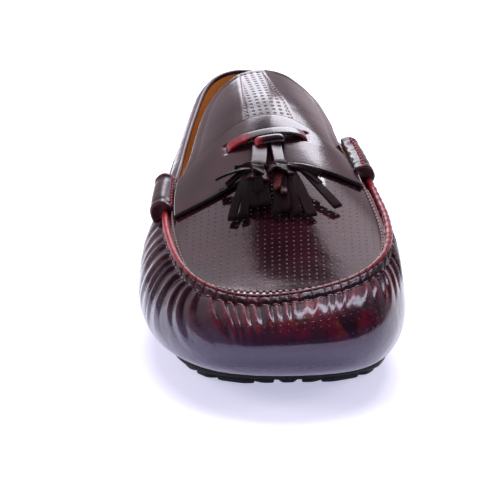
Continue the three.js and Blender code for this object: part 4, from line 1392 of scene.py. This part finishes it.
def polished_leather(name, base=(0.012, 0.002, 0.005, 1), rubbed=(0.22, 0.01, 0.02, 1), gloss=0.12, ior=1.58,
                     slow=0.35, grain=0.05, rub=None, ember=None, holes=None, radius=0.42, pitch=HOLE_PITCH,
                     hole_depth=0.5, coat=0.35, hole_shade=0.4, cut=None, gleam=(1, 1, 1, 1), floor_reflection_paint=None,
                     cloud=(0.03, 0.004, 0.009, 1)):
    """Polished leather from the tone, relief and pinhole groups. Marks named by rub, ember, holes and cut are
    read from the piece; a cut edge is dull and nearly black. The floor-reflection colour is a painted reflection of
    the pale floor, mixed into the base colour low on the piece, and gleam the colour of its gloss."""
    material = bpy.data.materials.new(name)
    material.use_nodes = True
    tree = material.node_tree
    shader = tree.nodes["Principled BSDF"]
    place = add_node(tree, "ShaderNodeTexCoord", (-1200, 0)).outputs["Object"]
    tone = use_group(tree, TONE, {"Base": base, "Rubbed": rubbed, "Cloud": cloud}, (-500, 200))
    tree.links.new(place, tone.inputs["Place"])
    for mark, socket in ((rub, "Rub"), (ember, "Fire")):
        if mark:
            tree.links.new(attribute(tree, mark), tone.inputs[socket])
    relief = use_group(tree, RELIEF, {"Slow": slow, "Grain": grain}, (-500, -200))
    tree.links.new(place, relief.inputs["Place"])
    height = relief.outputs["Height"]
    colour = tone.outputs["Color"]
    # Painted reflection of the pale floor: a lavender colour mixed into the base colour below 23 mm, gone above 34 mm.
    if floor_reflection_paint:
        split = add_node(tree, "ShaderNodeSeparateXYZ")
        tree.links.new(place, split.inputs[0])
        low = ramp_value(tree, split.outputs[2], 0.023, 0.034, 1.0, 0.0)
        colour = blend_colour(tree, low, colour, floor_reflection_paint)
    rough = maths(tree, "MULTIPLY_ADD", tone.outputs["Worn"], 0.12, gloss)
    if holes:
        surface = add_node(tree, "ShaderNodeUVMap", (-1200, -400), uv_map="Surface").outputs["UV"]
        field = use_group(tree, PINHOLES, {"Pitch": pitch, "Radius": radius}, (-700, -500))
        tree.links.new(surface, field.inputs["Surface"])
        hole = maths(tree, "MULTIPLY", field.outputs["Hole"], attribute(tree, holes))
        height = maths(tree, "SUBTRACT", height, maths(tree, "MULTIPLY", hole, hole_depth))
        shade = maths(tree, "MULTIPLY", hole, hole_shade)
        colour = blend_colour(tree, shade, colour, (0.004, 0.001, 0.002, 1))
        rough = maths(tree, "ADD", rough, maths(tree, "MULTIPLY", hole, 0.35))
    if cut:
        edge = attribute(tree, cut)
        colour = blend_colour(tree, edge, colour, (0.008, 0.003, 0.004, 1))
        rough = maths(tree, "MAXIMUM", rough, maths(tree, "MULTIPLY", edge, 0.6))
        tree.links.new(maths(tree, "MULTIPLY_ADD", edge, -coat, coat), shader.inputs["Coat Weight"])
    raised = add_node(tree, "ShaderNodeBump", (-100, -300))
    set_inputs(raised, {"Strength": 1.0, "Distance": 0.0005})
    tree.links.new(height, raised.inputs["Height"])
    tree.links.new(raised.outputs["Normal"], shader.inputs["Normal"])
    tree.links.new(colour, shader.inputs["Base Color"])
    tree.links.new(rough, shader.inputs["Roughness"])
    set_inputs(shader, {"IOR": ior, "Coat Roughness": 0.04, "Specular Tint": gleam})
    if not cut:
        set_inputs(shader, {"Coat Weight": coat})
    return material


def plain_finish(name, colour, roughness, grain_scale=0.0, grain=0.0, spread=0.25, ior=1.45):
    """Single-colour finish with a slow change of tone and a fine bump."""
    material = bpy.data.materials.new(name)
    material.use_nodes = True
    tree = material.node_tree
    shader = tree.nodes["Principled BSDF"]
    place = add_node(tree, "ShaderNodeTexCoord", (-1200, 0)).outputs["Object"]
    cloud = noise_at(tree, place, 160.0, 3.0)
    darker = tuple(c * (1 - spread) for c in colour[:3]) + (1,)
    lighter = tuple(min(c * (1 + spread), 1) for c in colour[:3]) + (1,)
    tree.links.new(blend_colour(tree, cloud, darker, lighter), shader.inputs["Base Color"])
    set_inputs(shader, {"Roughness": roughness, "IOR": ior})
    if grain:
        raised = add_node(tree, "ShaderNodeBump", (-100, -300))
        set_inputs(raised, {"Strength": grain, "Distance": 0.0004})
        tree.links.new(noise_at(tree, place, grain_scale, 4.0), raised.inputs["Height"])
        tree.links.new(raised.outputs["Normal"], shader.inputs["Normal"])
    return material


# The lavender colour low on the wall is a painted reflection of the pale floor.
WALL_LEATHER = polished_leather("wall_leather", rub="rub", ember="ember", holes="holes", radius=0.36, slow=0.9,
                                gloss=0.18, coat=0.1, cut="dull", base=(0.013, 0.002, 0.006, 1),
                                gleam=(0.82, 0.82, 0.97, 1), floor_reflection_paint=(0.034, 0.02, 0.058, 1))
APRON_FINISH = polished_leather("apron_leather", rub="rub", holes="holes", gloss=0.1, slow=0.22, radius=0.4,
                                 hole_depth=0.25, hole_shade=0.15)
TONGUE_FINISH = polished_leather("tongue_leather", rub="rub", holes="holes", gloss=0.2, radius=0.74, pitch=2.9,
                                 slow=0.25, hole_shade=1.0, hole_depth=0.6, coat=0.0)
STRAP_FINISH = polished_leather("strap_leather", rub="rub", gloss=0.2, slow=0.22, coat=0.1, cut="cut")
CORD_FINISH = polished_leather("seam_cord_leather", base=(0.05, 0.005, 0.009, 1), rub="rub", gloss=0.34, coat=0.1,
                               rubbed=(0.38, 0.012, 0.022, 1), slow=0.3)
ROLL_FINISH = polished_leather("roll_leather", rub="rub", gloss=0.3, slow=0.4, coat=0.0, ior=1.5)
BAND_FINISH = polished_leather("band_leather", rub="rub", gloss=0.26, coat=0.12, rubbed=(0.34, 0.01, 0.02, 1))
TASSEL_FINISH = polished_leather("tassel_leather", base=(0.004, 0.002, 0.003, 1), rubbed=(0.12, 0.02, 0.02, 1),
                                 gloss=0.42, ior=1.24, cloud=(0.014, 0.004, 0.006, 1), coat=0.0, grain=0.25, rub="rub")
STEM_FINISH = polished_leather("stem_leather", base=(0.012, 0.004, 0.006, 1), gloss=0.34, coat=0.0, ior=1.5)
LINING = plain_finish("tan_lining", (0.7, 0.35, 0.11, 1), 0.55, 700.0, 0.35, 0.12)
PALE_THREAD = plain_finish("pale_thread", (0.36, 0.26, 0.28, 1), 0.6, 2500.0, 0.4, 0.3)
RED_THREAD = plain_finish("red_thread", (0.03, 0.003, 0.006, 1), 0.5, 2500.0, 0.4, 0.4)
ROLL_THREAD = plain_finish("roll_thread", (0.3, 0.02, 0.045, 1), 0.5, 2500.0, 0.4, 0.4)
DARK_THREAD = plain_finish("dark_thread", (0.035, 0.01, 0.013, 1), 0.5, 2500.0, 0.4, 0.4)
RUBBER = plain_finish("black_rubber", (0.007, 0.007, 0.01, 1), 0.6, 1200.0, 0.3, 0.2, 1.3)

# Pieces

shell, marks, uv, slots = upper_skin()
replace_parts(put("upper_skin", shell, [WALL_LEATHER, LINING], marks, uv, slots), "upper")
shell, marks, uv = apron_skin()
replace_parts(put("apron_skin", shell, APRON_FINISH, marks, uv), "apron")
shell, marks, uv, _ = tongue_skin()
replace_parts(put("tongue_skin", shell, TONGUE_FINISH, marks, uv), "tongue")
shell, marks = strap_skin()
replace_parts(put("strap_skin", shell, STRAP_FINISH, marks), "strap")
shell, cord_run = seam_cord()
cord_rub = np.append(np.interp(cord_run, [-150, -72, -54, -15, 10, 40, 80, 150],
                               [1, 1, 0.5, 0.25, 0.3, 0.45, 0.55, 0.6]), [0.5, 0.5])
put("seam_cord", shell, CORD_FINISH, {"rub": cord_rub})
put("whip_threads", whip_threads(), RED_THREAD)
put("groove_threads", groove_threads(), PALE_THREAD)
put("apron_stitches", apron_stitches(), PALE_THREAD)
put("tongue_stitches", tongue_stitches(), PALE_THREAD)
put("collar_stitches", collar_stitches(), DARK_THREAD)
shell, rub = bridge_band()
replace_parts(put("bridge_band_skin", shell, BAND_FINISH, {"rub": rub}), "bridge_band")
shell, rub = keeper()
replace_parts(put("keeper_skin", shell, BAND_FINISH, {"rub": rub}), "keeper")
for side in ("outer", "inner"):
    shell, rub = roll(side)
    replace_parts(put("roll_skin_" + side, shell, ROLL_FINISH, {"rub": rub}), "roll_" + side)
    put("roll_stitches_" + side, roll_stitches(side), ROLL_THREAD)
    shell, rub = tassel(side)
    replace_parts(put("tassel_skin_" + side, shell, TASSEL_FINISH, {"rub": rub}), "tassel_" + side)
    put("stem_" + side, stem(side), STEM_FINISH)
sock_bottom = FOOT_HEIGHT + LEATHER + SEAT_GAP
points, faces, _ = flat_leaf(moved_in(FOOT_OUTLINE, 0.8), sock_bottom, sock_bottom + SOCK_THICKNESS, 120, 40, 0.8)
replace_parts(put("sock", (points, faces), LINING), "insole")
points, faces, _ = flat_leaf(sole_edge(0.4), LUG_HEIGHT, LUG_HEIGHT + PLATE_THICKNESS, 160, 30)
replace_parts(put("sole_plate", (points, faces), RUBBER), "outsole")
put("sole_lugs", lugs(), RUBBER)

# Floor, lights and camera

floor_mesh = bpy.data.meshes.new("floor")
floor_mesh.from_pydata([(-8, -8, 0), (8, -8, 0), (8, 8, 0), (-8, 8, 0)], [], [(0, 1, 2, 3)])
floor = bpy.data.objects.new("floor", floor_mesh)
bpy.context.scene.collection.objects.link(floor)
pale = bpy.data.materials.new("pale_floor")
pale.use_nodes = True
set_inputs(pale.node_tree.nodes["Principled BSDF"], {
    "Base Color": (0.9, 0.9, 0.93, 1), "Roughness": 0.8,
    "Emission Color": (0.76, 0.76, 1.0, 1), "Emission Strength": 0.62})
floor_mesh.materials.append(pale)


def soft_light(name, place, aim, size, power, mirrored=False):
    """Soft box at a place in metres, turned to face its aim. A mirrored box only shows in the leather's gloss;
    the others only light."""
    data = bpy.data.lights.new(name, "AREA")
    data.shape = "RECTANGLE"
    data.size, data.size_y = size
    data.energy = power
    data.color = (0.9, 0.9, 1.0) if mirrored else (1, 1, 1)
    lamp = bpy.data.objects.new(name, data)
    back = unit(np.array(place, float) - np.array(aim, float))
    side = unit(np.cross([0, 0, 1.0], back) + [1e-6, 0, 0])
    lamp.matrix_world = matrix_of(side, np.cross(back, side), back, place)
    lamp.visible_glossy = mirrored
    lamp.visible_diffuse = not mirrored
    lamp.visible_camera = False
    bpy.context.scene.collection.objects.link(lamp)
    return lamp


def matrix_of(side, up, back, place):
    """4 by 4 matrix from three axes and a place."""
    rows = [[side[k], up[k], back[k], place[k]] for k in range(3)]
    return Matrix(rows + [[0, 0, 0, 1]])


world = bpy.data.worlds.new("studio")
bpy.context.scene.world = world
world.use_nodes = True
tree = world.node_tree
sky = tree.nodes["Background"]
heading = add_node(tree, "ShaderNodeTexCoord").outputs["Generated"]
split = add_node(tree, "ShaderNodeSeparateXYZ")
tree.links.new(heading, split.inputs[0])
east, north, height = split.outputs


def patch_of_sky(azimuth, elevation, inner, outer):
    """1 within a cone about a direction in degrees (azimuth from behind the shoe towards its inner side), and 0
    outside a wider cone."""
    turn, rise = np.radians(azimuth), np.radians(elevation)
    aim = (float(np.sin(turn) * np.cos(rise)), float(np.cos(turn) * np.cos(rise)), float(np.sin(rise)))
    node = add_node(tree, "ShaderNodeVectorMath", operation="DOT_PRODUCT")
    tree.links.new(heading, node.inputs[0])
    node.inputs[1].default_value = aim
    return ramp_value(tree, node.outputs["Value"], float(np.cos(np.radians(outer))), float(np.cos(np.radians(inner))))


behind = maths(tree, "MULTIPLY", ramp_value(tree, north, 0.0, 0.4), ramp_value(tree, height, -0.1, 0.2, 0.5, 0.6))
behind = maths(tree, "MULTIPLY", behind, ramp_value(tree, height, 0.8, 0.92, 1.0, 0.1))
beside = maths(tree, "MULTIPLY", ramp_value(tree, east, -0.5, -0.9), 0.5)
glow = maths(tree, "MAXIMUM", maths(tree, "MAXIMUM", behind, beside), ramp_value(tree, height, 0.6, 0.95, 0.04, 0.1))
SKY_PATCHES = [
    # azimuth, elevation, inner and outer size, strength
    (-13, 44, 5, 14, 0.35),
    (13, 46, 5, 13, 0.9),
    (0, 37, 3, 6.5, 2.5),
    (34, 8, 8, 22, 0.6),
    (-36, -2, 8, 20, 0.5),
]
for azimuth, elevation, inner, outer, strength in SKY_PATCHES:
    glow = maths(tree, "MULTIPLY_ADD", patch_of_sky(azimuth, elevation, inner, outer), strength, glow)
DARK_GAP = [(-1, 49.5, 3.4, 5.2), (-1, 54, 4.6, 6.4), (-1, 59, 5.5, 8.0)]
gap = patch_of_sky(*DARK_GAP[0])
for place in DARK_GAP[1:]:
    gap = maths(tree, "MAXIMUM", gap, patch_of_sky(*place))
shade = maths(tree, "MULTIPLY_ADD", gap, -0.98, 1.0)
tree.links.new(maths(tree, "MULTIPLY", glow, shade), sky.inputs["Strength"])
set_inputs(sky, {"Color": (1.0, 0.85, 0.93, 1)})

soft_light("overhead_box", (0.1, 0.55, 1.5), (0, 0, 0.05), (1.3, 1.0), 26)
soft_light("left_box", (-1.4, -0.2, 0.9), (0, 0, 0.05), (0.8, 0.8), 8)
soft_light("right_box", (1.4, -0.3, 0.8), (0, 0, 0.05), (0.8, 0.8), 7)
soft_light("tongue_strip", (-0.011, 0.135, 0.156), (-0.008, 0.012, 0.062), (0.05, 0.13), 0.09, True)
soft_light("strap_strip", (0.028, 0.029, 0.12), (0.012, -0.025, 0.05), (0.042, 0.032), 0.03, True)
soft_light("toe_strip", (0.02, -0.1145, 0.066), (0.02, -0.128, 0.032), (0.05, 0.008), 0.009, True)

AZIMUTH = np.radians(-3.0)
ELEVATION = np.radians(17.5)
DISTANCE = 0.82
TARGET = np.array([-0.005, 0.0, 0.019])
FOCAL_PIXELS = 1890.0
FRAME_PIXELS = 500.0
back = np.array([np.sin(AZIMUTH) * np.cos(ELEVATION), -np.cos(AZIMUTH) * np.cos(ELEVATION), np.sin(ELEVATION)])
side = unit(np.cross([0, 0, 1.0], back))
camera_data = bpy.data.cameras.new("camera")
camera_data.sensor_width = 36.0
camera_data.lens = FOCAL_PIXELS * 36.0 / FRAME_PIXELS
camera = bpy.data.objects.new("camera", camera_data)
camera.matrix_world = matrix_of(side, np.cross(back, side), back, TARGET + back * DISTANCE)
bpy.context.scene.collection.objects.link(camera)
bpy.context.scene.camera = camera
bpy.context.scene.view_settings.view_transform = "Standard"
